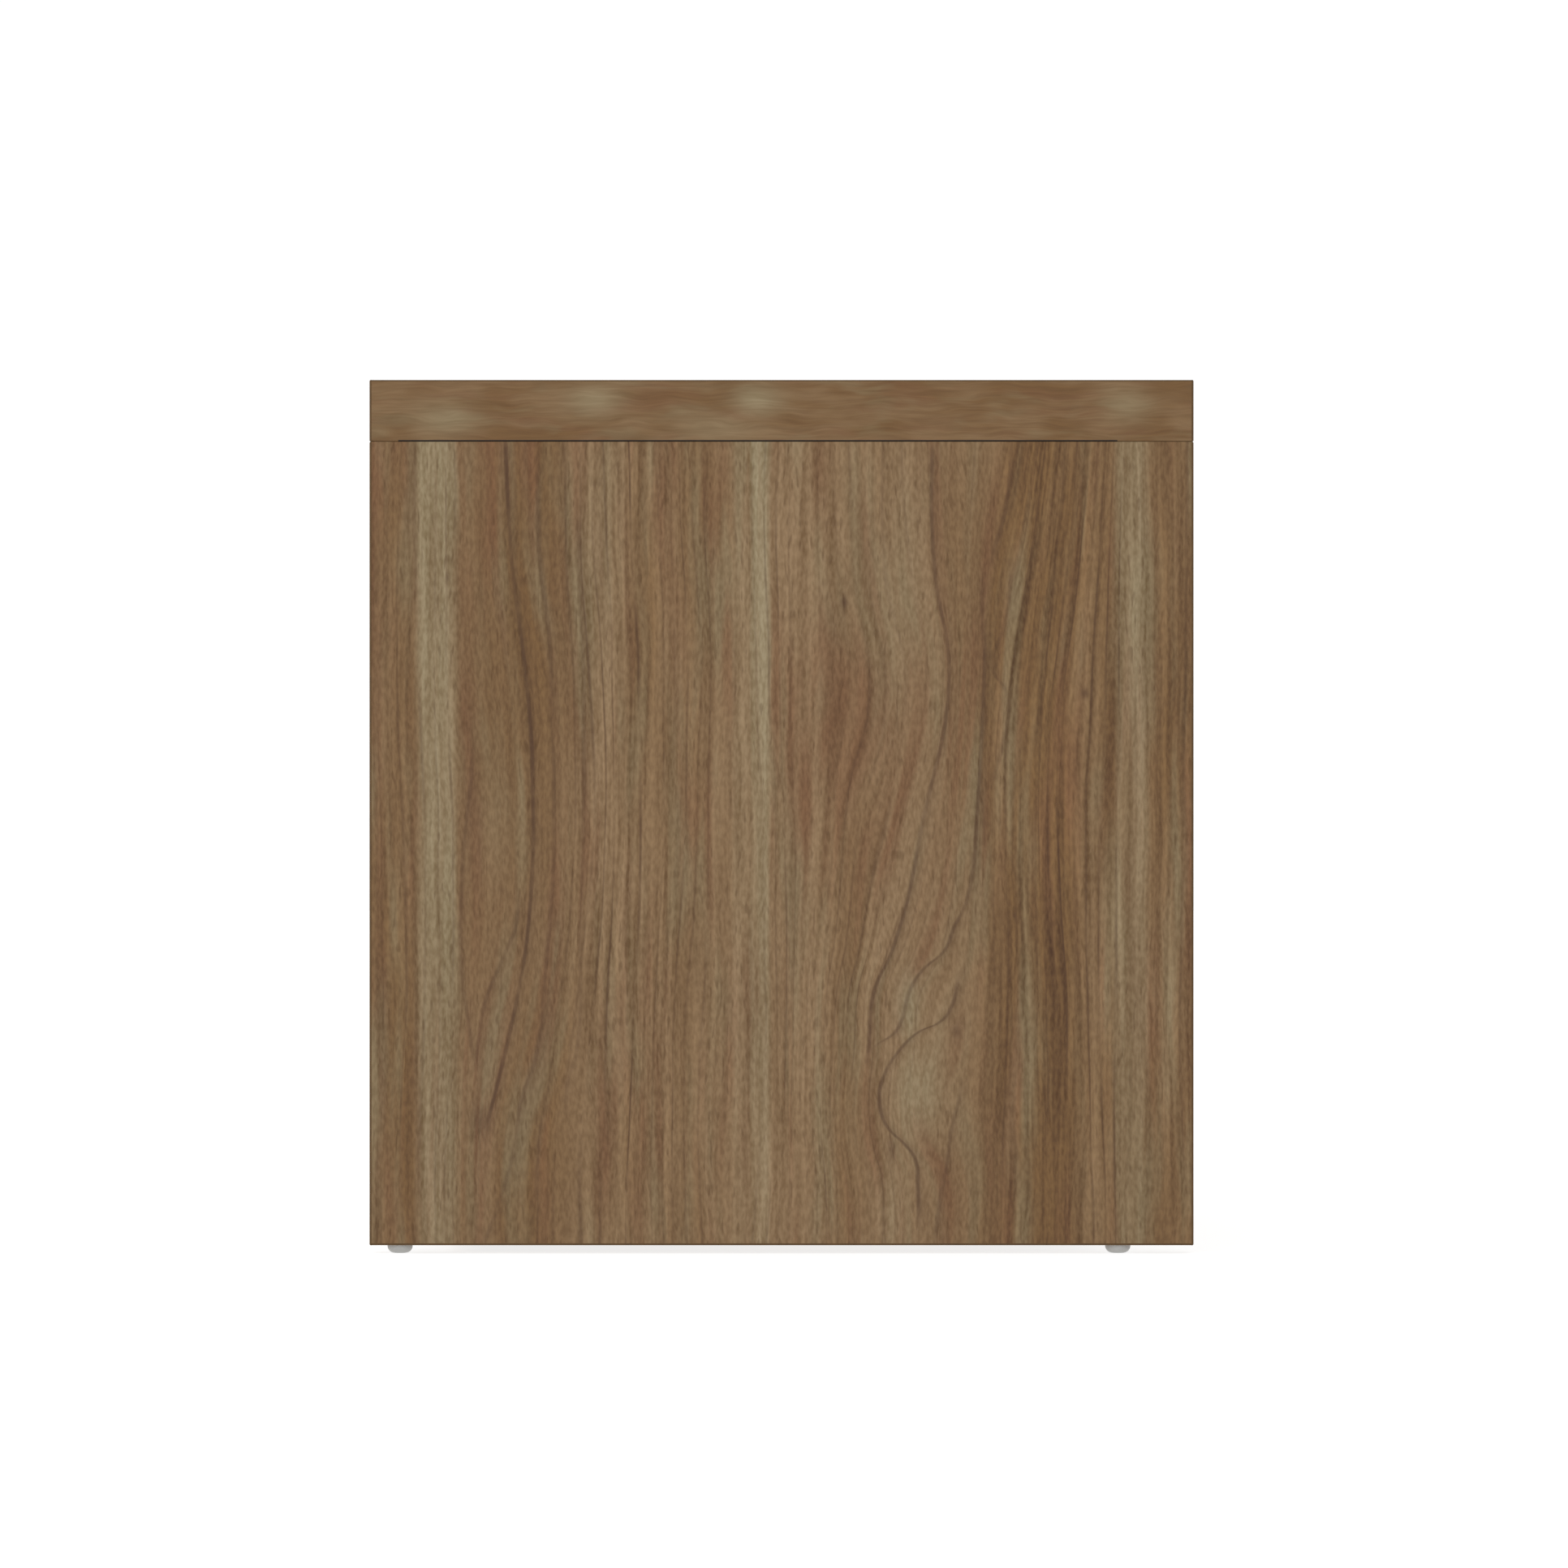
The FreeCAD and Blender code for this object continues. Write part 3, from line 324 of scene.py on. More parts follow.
def make_walnut_print(look):
    """Walnut decor paper: slow tones, bent fibres, growth lines, veins, pale sapwood and pores."""
    tree, given = new_group("walnut_decor_print", ("Across", "Along", "Seed"),
                            ("Color", "Gloss", "Height"))
    add = partial(node, tree)
    folded = add("Math", add("Math", given["Across"], HALF_SHEET, operation="ADD"), SHEET,
                 operation="PINGPONG")
    across = add("Math", folded, HALF_SHEET, operation="SUBTRACT")
    along = add("Math", given["Along"], SHEET, operation="PINGPONG")
    share_across = add("Math", folded, SHEET, operation="DIVIDE")
    share_along = add("Math", along, SHEET, operation="DIVIDE")
    seeded = add("Math", given["Seed"], BOARD_SEED_STEP, operation="MULTIPLY")
    flat = add("CombineXYZ", across, along, seeded)

    def line_across(points):
        """Where a line lies across the sheet, in mm, at this place along it."""
        shares = [(place / SHEET, (spot + HALF_SHEET) / SHEET) for place, spot in points]
        return add("Math", follow(tree, share_along, shares), SHEET, -HALF_SHEET,
                   operation="MULTIPLY_ADD")

    # Fibres wander a mm or two sideways over a hand's length, and bend along the figure's lines.
    slow = streaks(tree, flat, 60.0, 190.0, detail=1.0)
    quick = streaks(tree, flat, 17.0, 90.0, detail=1.0, shift=7.0)
    sway = add("Math", add("Math", slow, -0.5, operation="ADD"), 8.0,
               add("Math", add("Math", quick, -0.5, operation="ADD"), 3.5, operation="MULTIPLY"),
               operation="MULTIPLY_ADD")
    swayed = add("Math", across, sway, operation="ADD")
    straight = swayed
    for points, middle, left, right in BENDS:
        bend = add("Math", line_across(points), float(middle), operation="SUBTRACT")
        fade = add("Math", add("MapRange", across, left, middle, **SMOOTH),
                   add("MapRange", across, right, middle, **SMOOTH), operation="MULTIPLY")
        straight = add("Math", straight, add("Math", bend, fade, operation="MULTIPLY"),
                       operation="SUBTRACT")
    # The figure of growth lines bends, and the fibres and pores in it run nearly straight.
    figure = add("CombineXYZ", straight, along, seeded)
    fibres = add("CombineXYZ", swayed, along, seeded)

    # Growth lines, unevenly spaced, of which only some are dark, most of all in dark stretches.
    tone, striping = (follow(tree, share_across, [((place + HALF_SHEET) / SHEET, level)
                                                  for place, level in levels])
                      for levels in (TONE, STRIPING))
    uneven = add("Math", streaks(tree, figure, 38.0, 420.0, detail=1.0, shift=3.0), 5.0,
                 operation="MULTIPLY")
    turns = add("Math", straight, 1 / look.ring_spacing, uneven, operation="MULTIPLY_ADD")
    count = add("Math", turns, operation="ROUND")
    phase = add("Math", turns, count, operation="SUBTRACT")
    chance = add("TexWhiteNoise",
                 add("Math", count, 1.37, given["Seed"], operation="MULTIPLY_ADD"),
                 noise_dimensions="1D")
    patchy = add("MapRange", streaks(tree, figure, 12.0, 90.0, detail=1.0, shift=13.0),
                 0.32, 0.62, 0.1, 1.0, **SMOOTH)
    strength = add("Math", add("MapRange", chance, 0.3, 1.0, 0.05, 0.6, **SMOOTH), patchy,
                   operation="MULTIPLY")
    strength = add("Math", strength, add("Math", striping, 1.4, operation="MULTIPLY"),
                   operation="MULTIPLY")
    line = add("Math",
               add("MapRange", add("Math", phase, operation="ABSOLUTE"), 0.0, 0.16, 1.0, 0.0,
                   **SMOOTH), strength, operation="MULTIPLY")
    late = add("Math", add("MapRange", phase, -0.5, -0.02, **SMOOTH),
               add("MapRange", phase, 0.0, 0.1, 1.0, 0.0, **SMOOTH), operation="MULTIPLY")

    # Heartwood tones across the staves, with warm and cool streaks in them.
    drift = add("Math", streaks(tree, figure, 24.0, 210.0, detail=2.0, shift=11.0), 1.7, -0.85,
                operation="MULTIPLY_ADD")
    colour = add("Mix", add("Math", tone, drift, operation="ADD", use_clamp=True), look.dark,
                 look.pale, data_type="RGBA")
    warm = add("MapRange", streaks(tree, figure, 12.0, 160.0, detail=2.0, shift=19.0),
               0.46, 0.74, 0.0, 0.85, **SMOOTH)
    colour = add("Mix", warm, colour, look.red, data_type="RGBA")
    cool = add("MapRange", streaks(tree, figure, 13.0, 140.0, detail=2.0, shift=23.0),
               0.46, 0.74, 0.0, 0.75, **SMOOTH)
    colour = add("Mix", cool, colour, look.olive, data_type="RGBA")
    colour = add("Mix",
                 add("Math", add("Math", late, strength, operation="MULTIPLY"), 0.5,
                     operation="MULTIPLY"), colour, look.dark, data_type="RGBA")

    # Pale sapwood along the staves' sides, frayed along the fibres and stronger in places.
    frayed = add("Math", across,
                 add("Math", add("Math", quick, -0.5, operation="ADD"), 4.0, operation="MULTIPLY"),
                 operation="ADD")
    in_places = add("MapRange", streaks(tree, flat, 5.0, 130.0, detail=2.0, shift=31.0),
                    0.25, 0.62, 0.5, 1.0, **SMOOTH)
    pale = None
    for middle, half_width, lower, upper in SAPWOOD:
        beside = add("Math", add("Math", frayed, middle, operation="SUBTRACT"),
                     operation="ABSOLUTE")
        band = add("Math", add("MapRange", beside, half_width * 1.3, half_width * 0.6, **SMOOTH),
                   add("Math", share_along, upper - lower, lower, operation="MULTIPLY_ADD"),
                   operation="MULTIPLY")
        pale = band if pale is None else add("Math", pale, band, operation="MAXIMUM")
    for *spot, level in CLOUDS:
        cloud = add("Math", soft_spot(tree, across, along, spot), level, operation="MULTIPLY")
        pale = add("Math", pale, cloud, operation="MAXIMUM")
    colour = add("Mix", add("Math", pale, in_places, operation="MULTIPLY", use_clamp=True), colour,
                 look.sapwood, data_type="RGBA")

    # Streaks of fibre, from finger-wide down to hair-fine, darken and lighten what lies under.
    # Calm stretches near the hearts are hardly striped, and the staves' sides are most of all.
    shade = 0.0
    for width, length, depth_of_shade, shift in BOARD_STREAKS:
        fibre = add("MapRange", streaks(tree, figure, width, length, detail=1.0, shift=shift),
                    0.3, 0.7, -depth_of_shade, depth_of_shade, **SMOOTH)
        shade = add("Math", fibre, shade, operation="ADD")
    speckle = add("MapRange", streaks(tree, fibres, *SPECKLE_SIZE, detail=1.0, shift=47.0),
                  0.3, 0.7, -SPECKLE, SPECKLE, **SMOOTH)
    shade = add("Math", shade, striping, speckle, operation="MULTIPLY_ADD")
    # The print's inks overlap, so that streaks change its brightness and hardly change its hue.
    inks = add("VectorMath", shade, INK_SHADE, (1.0, 1.0, 1.0), operation="MULTIPLY_ADD")
    colour = add("VectorMath", colour, inks, operation="MULTIPLY")

    # Veins, pin knots and pores lie darkest of all. A vein has a soft shadow on its outer side.
    near_line = add("Math", across, add("Math", sway, 0.25, operation="MULTIPLY"), operation="ADD")
    broken = add("MapRange", streaks(tree, flat, 9.0, 30.0, detail=2.0, shift=67.0),
                 0.3, 0.58, 0.55, 1.0, **SMOOTH)
    for points, darkness, start, end in VEINS:
        beside = add("Math", near_line, line_across(points), operation="SUBTRACT")
        core = add("MapRange", add("Math", beside, operation="ABSOLUTE"), VEIN_CORE,
                   VEIN_HALF_WIDTH, 1.0, 0.0, **SMOOTH)
        shadow = add("Math", add("MapRange", beside, -0.6, 0.2, **SMOOTH),
                     add("MapRange", beside, 0.2, VEIN_SHADOW, 0.4, 0.0, **SMOOTH),
                     operation="MULTIPLY")
        both = add("Math", core, shadow, operation="MAXIMUM")
        ends = add("Math",
                   add("MapRange", along, start - VEIN_LEAD, start + VEIN_RISE, **SMOOTH),
                   add("MapRange", along, end + VEIN_LEAD, end - VEIN_RISE, **SMOOTH),
                   operation="MULTIPLY")
        drawn = add("Math", add("Math", both, ends, operation="MULTIPLY"),
                    darkness * VEIN_DARKNESS, operation="MULTIPLY")
        line = add("Math", line, drawn, operation="MAXIMUM")
    colour = add("Mix", add("Math", line, broken, operation="MULTIPLY"), colour, look.vein,
                 data_type="RGBA")
    for *spot, darkness in KNOTS:
        knot = add("Math", soft_spot(tree, across, along, spot), darkness, operation="MULTIPLY")
        colour = add("Mix", knot, colour, look.vein, data_type="RGBA")
    dash = streaks(tree, fibres, look.pore_width, look.pore_length, detail=0.0, shift=53.0)
    crowd = add("MapRange", streaks(tree, fibres, 15.0, 170.0, detail=1.0, shift=59.0),
                0.35, 0.65, 0.72, 0.6, **SMOOTH)
    pores = add("MapRange", add("Math", dash, crowd, operation="SUBTRACT"), 0.0, 0.14, **SMOOTH)
    colour = add("Mix", add("Math", pores, PORE_DARKNESS, operation="MULTIPLY"), colour, look.pore,
                 data_type="RGBA")

    # The press plate's texture follows the pores, so they are sunk and a little duller.
    fibre = streaks(tree, fibres, *FILM_GRAIN, detail=1.0, shift=61.0)
    height = add("Math", pores, -0.8, add("Math", fibre, 0.35, operation="MULTIPLY"),
                 operation="MULTIPLY_ADD")
    gloss = add("Math", pores, PORE_DULLNESS,
                add("Math", fibre, 0.1, SATIN, operation="MULTIPLY_ADD"),
                operation="MULTIPLY_ADD")
    hand_out(tree, Color=colour, Gloss=gloss, Height=height)
    return tree


def make_band_print(look):
    """The slab's edge band: the same decor printed coarser, in soft clouds and level hairlines."""
    tree, given = new_group("walnut_band_print", ("Across", "Along", "Seed"),
                            ("Color", "Gloss", "Height"))
    add = partial(node, tree)
    seeded = add("Math", given["Seed"], BAND_SEED_STEP, operation="MULTIPLY")
    flat = add("CombineXYZ", given["Across"], given["Along"], seeded)
    bend = streaks(tree, flat, 9.0, 30.0, detail=1.0, shift=71.0)
    bent = add("CombineXYZ", add("Math", bend, 7.0, given["Across"], operation="MULTIPLY_ADD"),
               given["Along"], seeded)
    cloud = streaks(tree, bent, 11.0, 42.0, detail=2.0, shift=73.0)
    colour = add("Mix", add("MapRange", cloud, 0.36, 0.64, 0.0, 0.55, **SMOOTH), look.dark,
                 look.pale, data_type="RGBA")
    warm = add("MapRange", streaks(tree, bent, 8.0, 40.0, detail=2.0, shift=79.0),
               0.47, 0.7, 0.0, 0.45, **SMOOTH)
    colour = add("Mix", warm, colour, look.red, data_type="RGBA")
    cool = add("MapRange", streaks(tree, bent, 9.0, 30.0, detail=2.0, shift=83.0),
               0.5, 0.72, 0.0, 0.4, **SMOOTH)
    colour = add("Mix", cool, colour, look.olive, data_type="RGBA")
    # Pale clouds where the sapwood bands of the boards below run up to the slab.
    pale = None
    for place, height, half_length, strength in BAND_CLOUDS:
        spot = soft_spot(tree, given["Across"], given["Along"],
                         (height, place, BAND_CLOUD_HALF_HEIGHT, half_length))
        spot = add("Math", spot, strength, operation="MULTIPLY")
        pale = spot if pale is None else add("Math", pale, spot, operation="MAXIMUM")
    colour = add("Mix", pale, colour, look.sapwood, data_type="RGBA")
    shade = 0.0
    for width, length, depth_of_shade, shift in BAND_STREAKS:
        fibre = add("MapRange", streaks(tree, bent, width, length, detail=2.0, shift=shift),
                    0.3, 0.7, -depth_of_shade, depth_of_shade, **SMOOTH)
        shade = add("Math", fibre, shade, operation="ADD")
    inks = add("VectorMath", shade, INK_SHADE, (1.0, 1.0, 1.0), operation="MULTIPLY_ADD")
    colour = add("VectorMath", colour, inks, operation="MULTIPLY")
    fibre = streaks(tree, flat, *FILM_GRAIN, detail=1.0, shift=61.0)
    height = add("Math", fibre, 0.4, operation="MULTIPLY")
    gloss = add("Math", fibre, 0.1, SATIN, operation="MULTIPLY_ADD")
    hand_out(tree, Color=colour, Gloss=gloss, Height=height)
    return tree


def make_chip_core(look):
    """Particle board sawn through: pressed chips 1 to 4 mm across, some of them bark."""
    tree, given = new_group("particle_board_core", ("X", "Y", "Z"), ("Color", "Gloss", "Height"))
    add = partial(node, tree)
    place = add("CombineXYZ", given["X"], given["Y"], given["Z"])
    chips = add("TexVoronoi", add("VectorMath", place, (0.32, 0.32, 0.75), operation="MULTIPLY"),
                1.0)
    tint = add("TexWhiteNoise", chips.outputs["Color"])
    dust = add("TexNoise", place, 1.6, 3.0, 0.6)
    colour = add("Mix", add("MapRange", tint, 0.72, 1.0, 0.0, 0.75), look.chip, look.chip_dark,
                 data_type="RGBA")
    colour = add("VectorMath", colour, add("MapRange", dust, 0.3, 0.7, 0.8, 1.15),
                 operation="SCALE")
    gloss = add("MapRange", dust, 0.0, 1.0, 0.85, 0.95)
    hand_out(tree, Color=colour, Gloss=gloss, Height=add("Math", chips, dust, operation="ADD"))
    return tree


def new_material(name, roughness=0.5, metallic=0.0, specular=0.5, ior=1.5):
    """Start a material and return it, its tree and its shader."""
    material = bpy.data.materials.new(name)
    material.use_nodes = True
    shader = material.node_tree.nodes["Principled BSDF"]
    shader.inputs["Roughness"].default_value = roughness
    shader.inputs["Metallic"].default_value = metallic
    if not metallic:
        shader.inputs["Specular IOR Level"].default_value = specular
        shader.inputs["IOR"].default_value = ior
    return material, material.node_tree, shader


def place_in_mm(tree):
    """The place on the unit along X, Y and Z, in mm."""
    place = node(tree, "TexCoord").outputs["Object"]
    scaled = node(tree, "VectorMath", place, 1 / MM, operation="SCALE")
    return node(tree, "SeparateXYZ", scaled).outputs


def dress(tree, shader, colour, roughness, height, relief):
    """Give a shader its colour, roughness and relief, which is a depth in mm."""
    for value, name in ((colour, "Base Color"), (roughness, "Roughness")):
        tree.links.new(result(value), shader.inputs[name])
    bump = node(tree, "Bump", 1.0, relief * MM, None, height)
    tree.links.new(bump.outputs["Normal"], shader.inputs["Normal"])


def faced(tree, shader, mask, face, core):
    """Show one group's finish where a mask is 1 and another's elsewhere."""
    colour = node(tree, "Mix", mask, core.outputs["Color"], face.outputs["Color"],
                  data_type="RGBA")
    gloss = node(tree, "Mix", mask, core.outputs["Gloss"], face.outputs["Gloss"])
    height = node(tree, "Mix", mask, core.outputs["Height"], face.outputs["Height"])
    dress(tree, shader, colour, gloss, height, FILM_RELIEF)


def board_material(name, walnut, core_group, cut, box, both_sides):
    """Melamine-faced board: satin print on its big faces, and the bare core where it is cut."""
    across, along, shift_across, shift_along, seed = cut
    thin = ({X, Y, Z} - {across, along}).pop()
    material, tree, shader = new_material(name, specular=FILM_GLOSS)
    place = place_in_mm(tree)
    face = node(tree, "Group",
                node(tree, "Math", place[across], float(shift_across), operation="ADD"),
                node(tree, "Math", place[along], float(shift_along), operation="ADD"), float(seed),
                node_tree=walnut)
    core = node(tree, "Group", *place, node_tree=core_group)
    low, high = (corner[thin] / MM for corner in box)
    mask = node(tree, "Math", place[thin], low, SKIN, operation="COMPARE")
    if both_sides:
        other = node(tree, "Math", place[thin], high, SKIN, operation="COMPARE")
        mask = node(tree, "Math", mask, other, operation="MAXIMUM")
    faced(tree, shader, mask, face, core)
    return material


def band_material(name, prints, body_group, box, shadowed_span=None):
    """Printed plastic edge band: print on its outer face, the darker body on its trimmed sides."""
    low, high = (corner / MM for corner in box)
    size = high - low
    thin, across, along = sorted((X, Y, Z), key=lambda axis: size[axis])
    middle = (LOW + HIGH) / 2 / MM
    ends = (low[thin], high[thin])
    outer = max(ends, key=lambda end: abs(end - middle[thin]))
    material, tree, shader = new_material(name, specular=FILM_GLOSS)
    place = place_in_mm(tree)
    add = partial(node, tree)
    face = node(tree, "Group", add("Math", place[across], -low[across], operation="ADD"),
                place[along], float(round(abs(outer))), node_tree=prints)
    shadow_line = 0.0
    # A slab end gets a painted shadow line: near-black along its lower rim, beside the boards
    # below.
    if shadowed_span:
        scraped = add("Math", place[Z], high.z, SCRAPE, operation="COMPARE")
        near = add("Math", place[Z], low.z, RIM_HEIGHT, operation="COMPARE")
        start, end = (corner.y / MM for corner in shadowed_span)
        beside = add("Math", place[Y], (start + end) / 2, (end - start) / 2, operation="COMPARE")
        shadow_line = add("Math", near, beside, operation="MULTIPLY")
    body = node(tree, "Group", *place, shadow_line, node_tree=body_group)
    mask = add("Math", place[thin], outer, PRINT_FILM, operation="COMPARE")
    if shadowed_span:
        bare = add("Math", shadow_line, scraped, operation="MAXIMUM")
        mask = add("Math", mask, add("Math", 1.0, bare, operation="SUBTRACT"),
                   operation="MULTIPLY")
    faced(tree, shader, mask, face, body)
    return material


def make_band_body(look):
    """Extruded edge band seen from the side: brown through and through, with drag lines."""
    tree, given = new_group("edge_band_body", ("X", "Y", "Z", "Seam shadow"),
                            ("Color", "Gloss", "Height"))
    place = node(tree, "CombineXYZ", given["X"], given["Y"], given["Z"])
    cloud = node(tree, "TexNoise", place, 0.11, 3.0, 0.6)
    shade = node(tree, "MapRange", cloud, 0.3, 0.7, 0.82, 1.18)
    body = node(tree, "VectorMath", tuple(look.band_body), shade, operation="SCALE")
    # Where the shadow input is 1, a near-black painted shadow line replaces the body colour.
    colour = node(tree, "Mix", given["Seam shadow"], body, look.seam_shadow, data_type="RGBA")
    scrape = node(tree, "TexNoise", place, 1.2, 2.0, 0.5)
    gloss = node(tree, "MapRange", scrape, 0.0, 1.0, 0.48, 0.62)
    hand_out(tree, Color=colour, Gloss=gloss, Height=scrape)
    return tree


def make_hardboard(look):
    """Rough rear of a thin fibreboard: matted fibres and the weave of the press screen."""
    tree, given = new_group("hardboard_rear", ("X", "Y", "Z"), ("Color", "Gloss", "Height"))
    place = node(tree, "CombineXYZ", given["X"], given["Y"], given["Z"])
    mat = node(tree, "TexNoise", place, 0.45, 5.0, 0.65)
    fibre = streaks(tree, node(tree, "VectorRotate", place, None, (0.0, 1.0, 0.0), 0.6), 0.9, 5.0,
                    detail=2.0, shift=3.0)
    mixed = node(tree, "Math", mat, fibre, operation="MULTIPLY")
    colour = node(tree, "Mix", node(tree, "MapRange", mixed, 0.16, 0.36), look.hardboard,
                  look.fibre, data_type="RGBA")
    # The screen's wires are 1.3 mm apart. They are drawn 2 mm apart, so that they show.
    wires = [node(tree, "Math", node(tree, "Math", given[axis], math.pi, operation="MULTIPLY"),
                  operation="SINE") for axis in ("X", "Z")]
    weave = node(tree, "Math", *wires, operation="MULTIPLY")
    height = node(tree, "Math", weave, 0.3, mat, operation="MULTIPLY_ADD")
    gloss = node(tree, "MapRange", mat, 0.0, 1.0, 0.8, 0.95)
    hand_out(tree, Color=colour, Gloss=gloss, Height=height)
    return tree


def mottled_material(name, colour, grain, spread, roughness, metallic=0.0, relief=0.02, ior=1.5):
    """A plain piece: colour mottled over so many mm, uneven gloss, and a finely grained skin."""
    material, tree, shader = new_material(name, roughness, metallic, ior=ior)
    place = node(tree, "CombineXYZ", *place_in_mm(tree))
    mottle = node(tree, "TexNoise", place, 1 / grain, 3.0, 0.6)
    shade = node(tree, "MapRange", mottle, 0.3, 0.7, 1.0 - spread, 1.0 + spread)
    tinted = node(tree, "VectorMath", tuple(colour), shade, operation="SCALE")
    gloss = node(tree, "MapRange", mottle, 0.2, 0.8, roughness - 0.06, roughness + 0.08)
    skin = node(tree, "TexNoise", place, 4.0 / grain, 2.0, 0.5)
    dress(tree, shader, tinted, gloss, skin, relief)
    return material


def beech_material(name, look, axis):
    """Fluted beech dowel: pale wood with short darker flecks along the dowel."""
    material, tree, shader = new_material(name, 0.7)
    place = place_in_mm(tree)
    across, deep = sorted({X, Y, Z} - {axis})
    grain = node(tree, "CombineXYZ", place[across], place[axis], place[deep])
    fleck = streaks(tree, grain, 0.7, 4.0, detail=2.0, shift=5.0)
    colour = node(tree, "Mix", node(tree, "MapRange", fleck, 0.5, 0.7), look.beech, look.fleck,
                  data_type="RGBA")
    gloss = node(tree, "MapRange", fleck, 0.0, 1.0, 0.6, 0.78)
    dress(tree, shader, colour, gloss, fleck, 0.05)
    return material


def put_on(name, material):
    """Give a CAD node its finish."""
    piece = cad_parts[name]
    if not piece.material_slots:
        piece.data.materials.append(material)
    for slot in piece.material_slots:
        slot.material = material


class CUBE_OT_boards(bpy.types.Operator):
    """Dress the particle boards and the back panel in walnut print"""
    bl_idname = "cube.boards"
    bl_label = "Boards"

    def execute(self, context):
        plain = context.scene.cube_plain_finishes
        walnut = make_walnut_print(context.scene.cube_walnut_print)
        chips = make_chip_core(plain)
        hardboard = make_hardboard(plain)
        # Melamine film pressed on particle board: an even satin, and a dull crumbly core. The
        # hardboard's face is printed, and its rear is matt and fibrous.
        for name, cut in BOARDS.items():
            core, both_sides, kind = chips, True, "melamine_faced_board"
            if name == "back_panel":
                core, both_sides, kind = hardboard, False, "printed_hardboard"
            put_on(name, board_material(f"{kind}_{name}", walnut, core, cut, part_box(name),
                                        both_sides))
        return {"FINISHED"}


class CUBE_OT_edge_bands(bpy.types.Operator):
    """Dress every edge band: print outside, darker plastic at its trimmed sides"""
    bl_idname = "cube.edge_bands"
    bl_label = "Edge bands"

    def execute(self, context):
        walnut = bpy.data.node_groups["walnut_decor_print"]
        coarse = make_band_print(context.scene.cube_walnut_print)
        body = make_band_body(context.scene.cube_plain_finishes)
        # Extruded ABS under a lacquered print: a satin face, and duller sides where it is trimmed.
        for name in sorted(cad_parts):
            if not name.endswith("_band"):
                continue
            prints = coarse if name.startswith("top_") else walnut
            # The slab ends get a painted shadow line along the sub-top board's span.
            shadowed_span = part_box("sub_top_board") if name in SLAB_ENDS else None
            put_on(name, band_material(f"extruded_abs_{name}", prints, body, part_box(name), shadowed_span))
        return {"FINISHED"}


class CUBE_OT_plastics(bpy.types.Operator):
    """Dress the moulded glides and the cover caps"""
    bl_idname = "cube.plastics"
    bl_label = "Glides and caps"

    def execute(self, context):
        look = context.scene.cube_plain_finishes
        # Moulded polyethylene is waxy: a soft wide sheen and faint clouds.
        glide = mottled_material("moulded_polyethylene", look.glide, grain=6.0, spread=0.04,
                                 roughness=0.42, ior=1.51)
        # Moulded ABS has a spark-eroded grain, which gives an even satin.
        cap = mottled_material("moulded_abs", look.cap, grain=2.0, spread=0.06, roughness=0.5,
                               ior=1.53)
        for name in sorted(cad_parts):
            if name.startswith("glide_") and name != "glide_nails":
                put_on(name, glide)
        put_on("cam_cover_caps", cap)
        return {"FINISHED"}


class CUBE_OT_fittings(bpy.types.Operator):
    """Dress the cams, bolts, dowels, screws, brackets and nails"""
    bl_idname = "cube.fittings"
    bl_label = "Fittings"

    def execute(self, context):
        look = context.scene.cube_plain_finishes
        # Die-cast zinc is dull and faintly grained by the mould.
        zinc = mottled_material("die_cast_zinc", look.zinc, grain=1.5, spread=0.12,
                                roughness=0.48, metallic=1.0, relief=0.03)
        # Bright zinc plating shows the crystals of the bath as small cloudy patches.
        steel = mottled_material("zinc_plated_steel", look.plating, grain=3.0, spread=0.10,
                                 roughness=0.3, metallic=1.0, relief=0.01)
        for name in ("cams", "cam_bolts"):
            put_on(name, zinc)
        for name in ("glide_nails", "top_screws", "left_corner_bracket",
                     "right_corner_bracket", "bracket_board_screws", "bracket_rail_screws",
                     "back_nails"):
            put_on(name, steel)
        # Beech turned and fluted: dry, pale and finely flecked.
        for name, axis in DOWEL_AXES.items():
            put_on(name, beech_material(f"fluted_beech_{name}", look, axis))
        return {"FINISHED"}


def softbox(name, place, size, aim, power):
    """A square soft light at a place, turned towards a point."""
    light = bpy.data.lights.new(name, "AREA")
    light.shape = "SQUARE"
    light.size = size
    light.energy = power
    lamp = bpy.data.objects.new(name, light)
    lamp.location = place
    lamp.rotation_euler = (Vector(aim) - Vector(place)).to_track_quat("-Z", "Y").to_euler()
    bpy.context.scene.collection.objects.link(lamp)


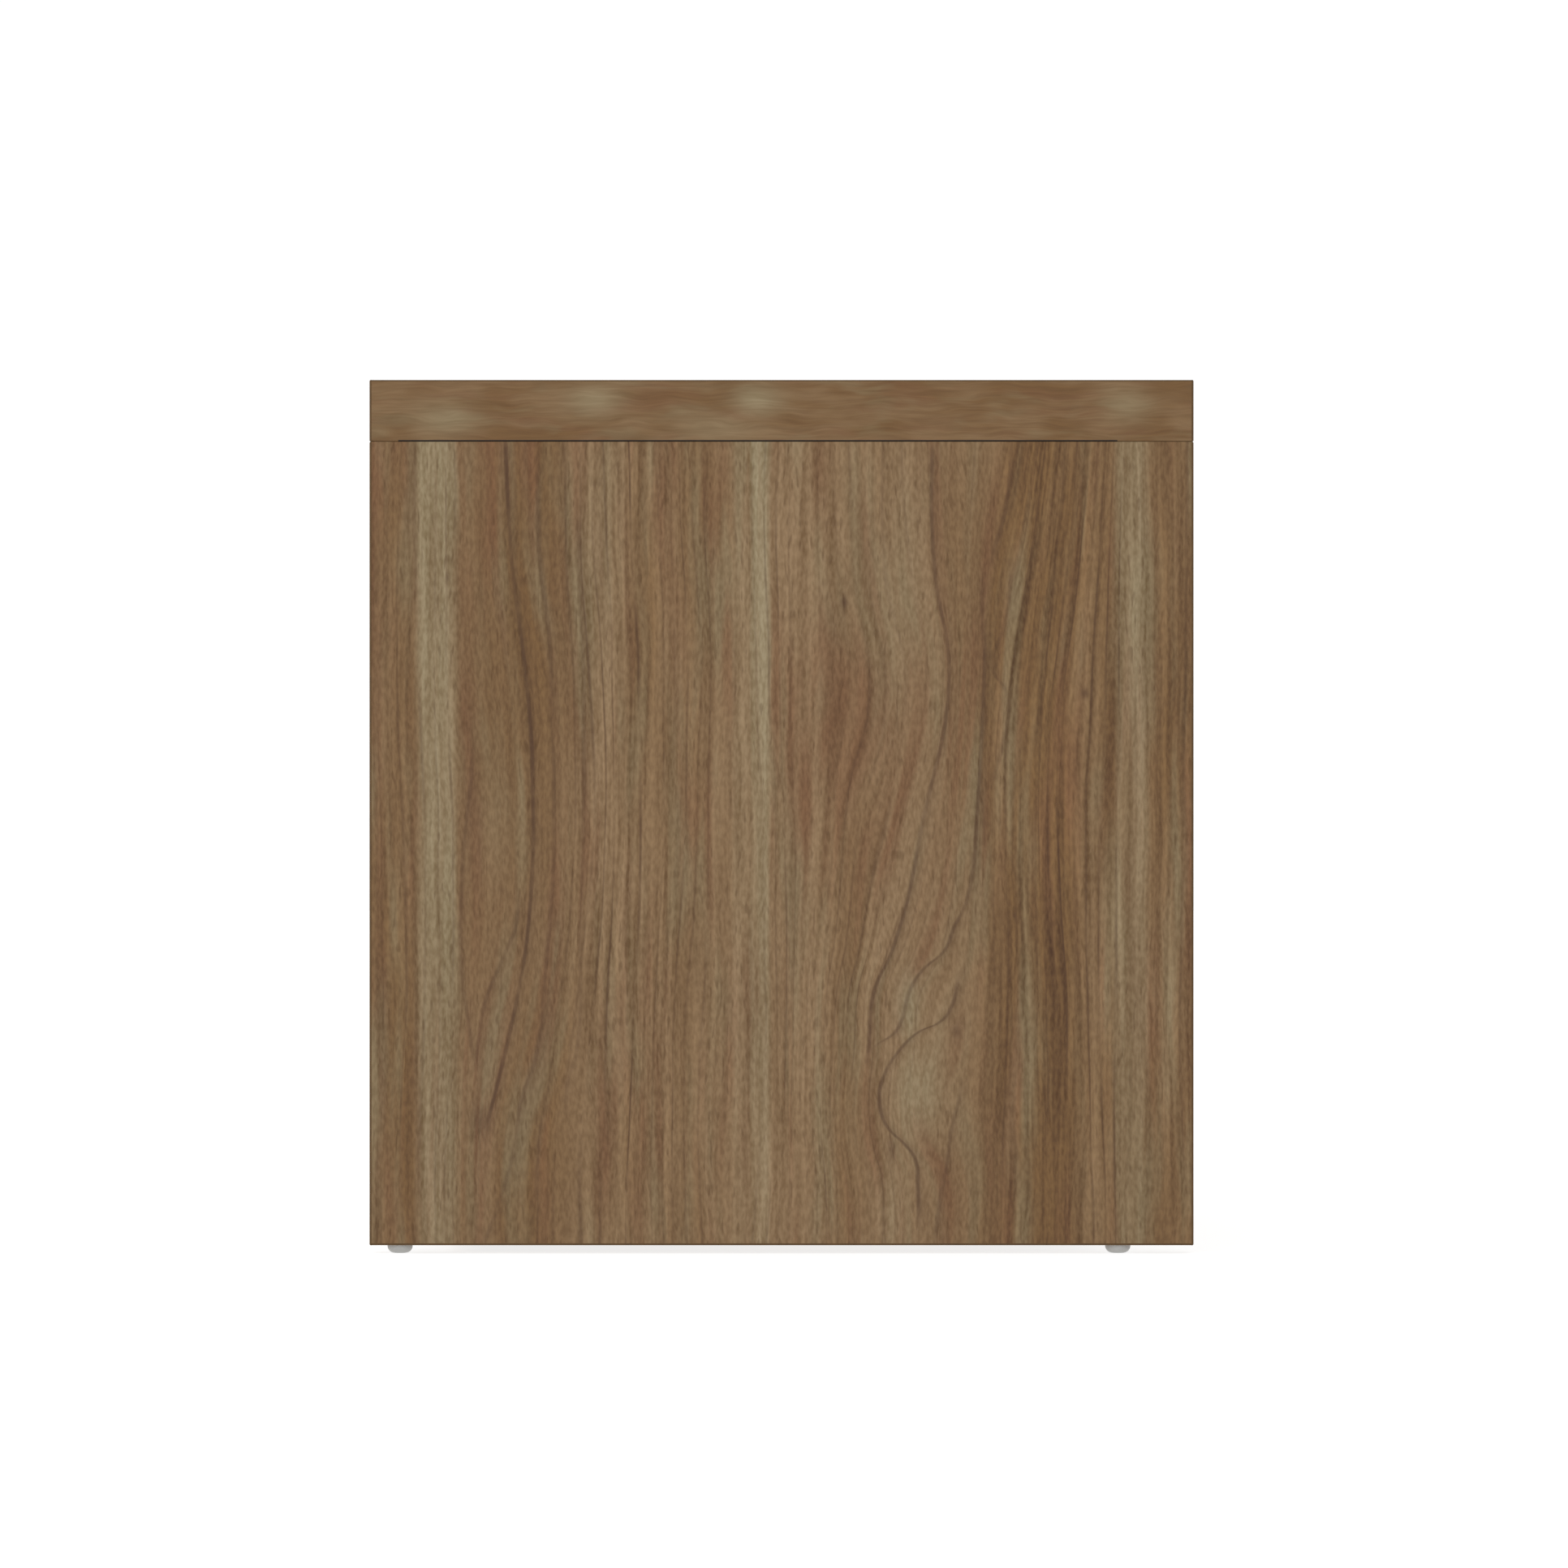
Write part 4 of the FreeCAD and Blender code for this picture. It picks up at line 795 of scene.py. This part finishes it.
class CUBE_OT_studio(bpy.types.Operator):
    """Make the pale floor, the soft lights and the camera"""
    bl_idname = "cube.studio"
    bl_label = "Studio"

    def execute(self, context):
        studio = context.scene.cube_studio
        middle = (LOW + HIGH) / 2
        mesh = bpy.data.meshes.new("studio_floor")
        sheet = bmesh.new()
        bmesh.ops.create_grid(sheet, x_segments=FLOOR_CELLS, y_segments=FLOOR_CELLS,
                              size=FLOOR_HALF)
        bmesh.ops.translate(sheet, verts=sheet.verts, vec=(0.0, 0.0, LOW.z))
        sheet.to_mesh(mesh)
        sheet.free()
        floor = bpy.data.objects.new("studio_floor", mesh)
        context.scene.collection.objects.link(floor)
        # A light table's matt acrylic has no sheen. It glows from below, so that it stays white
        # under the unit too.
        opal = mottled_material("opal_acrylic", studio.floor, grain=300.0, spread=0.01,
                                roughness=0.9, relief=0.0)
        shader = opal.node_tree.nodes["Principled BSDF"]
        shader.inputs["Emission Color"].default_value = WHITE
        shader.inputs["Emission Strength"].default_value = studio.table
        mesh.materials.append(opal)

        world = bpy.data.worlds.new("studio_surroundings")
        world.use_nodes = True
        background = world.node_tree.nodes["Background"]
        background.inputs["Color"].default_value = WHITE
        background.inputs["Strength"].default_value = studio.sky
        context.scene.world = world
        softbox("key_softbox", *KEY_BOX, middle, studio.key)
        softbox("fill_softbox", *FILL_BOX, middle, studio.fill)

        lens = bpy.data.cameras.new("side_camera")
        lens.sensor_width = SENSOR_WIDTH_MM
        lens.lens = studio.lens
        lens.clip_end = CAMERA_REACH
        camera = bpy.data.objects.new("side_camera", lens)
        camera.location = (HIGH.x + studio.camera_distance, CAMERA_SIDE, CAMERA_HEIGHT)
        camera.rotation_euler = (math.pi / 2, 0.0, math.pi / 2)
        context.scene.collection.objects.link(camera)
        context.scene.camera = camera
        context.scene.view_settings.view_transform = "Standard"
        return {"FINISHED"}


class CUBE_PT_panel(bpy.types.Panel):
    """Operators and settings of the cube storage unit"""
    bl_idname = "CUBE_PT_panel"
    bl_label = "Cube Storage Unit"
    bl_space_type = "VIEW_3D"
    bl_region_type = "UI"
    bl_category = "Cube Unit"

    def draw(self, context):
        for operator in STEPS:
            self.layout.operator(operator.bl_idname)
        for name, group in SETTINGS.items():
            box = self.layout.box()
            for field in group.__annotations__:
                box.prop(getattr(context.scene, name), field)


STEPS = (CUBE_OT_boards, CUBE_OT_edge_bands, CUBE_OT_plastics, CUBE_OT_fittings, CUBE_OT_studio)
SETTINGS = {
    "cube_walnut_print": CubeWalnutPrint,
    "cube_plain_finishes": CubePlainFinishes,
    "cube_studio": CubeStudio,
}


def register():
    """Register the settings, the operators and the panel."""
    for name, group in SETTINGS.items():
        bpy.utils.register_class(group)
        setattr(bpy.types.Scene, name, bpy.props.PointerProperty(type=group))
    for kind in (*STEPS, CUBE_PT_panel):
        bpy.utils.register_class(kind)


def unregister():
    """Undo what register did."""
    for kind in (CUBE_PT_panel, *reversed(STEPS)):
        bpy.utils.unregister_class(kind)
    for name, group in reversed(SETTINGS.items()):
        delattr(bpy.types.Scene, name)
        bpy.utils.unregister_class(group)


def main():
    register()
    bpy.ops.cube.boards()
    bpy.ops.cube.edge_bands()
    bpy.ops.cube.plastics()
    bpy.ops.cube.fittings()
    bpy.ops.cube.studio()


if __name__ == "__main__":
    main()
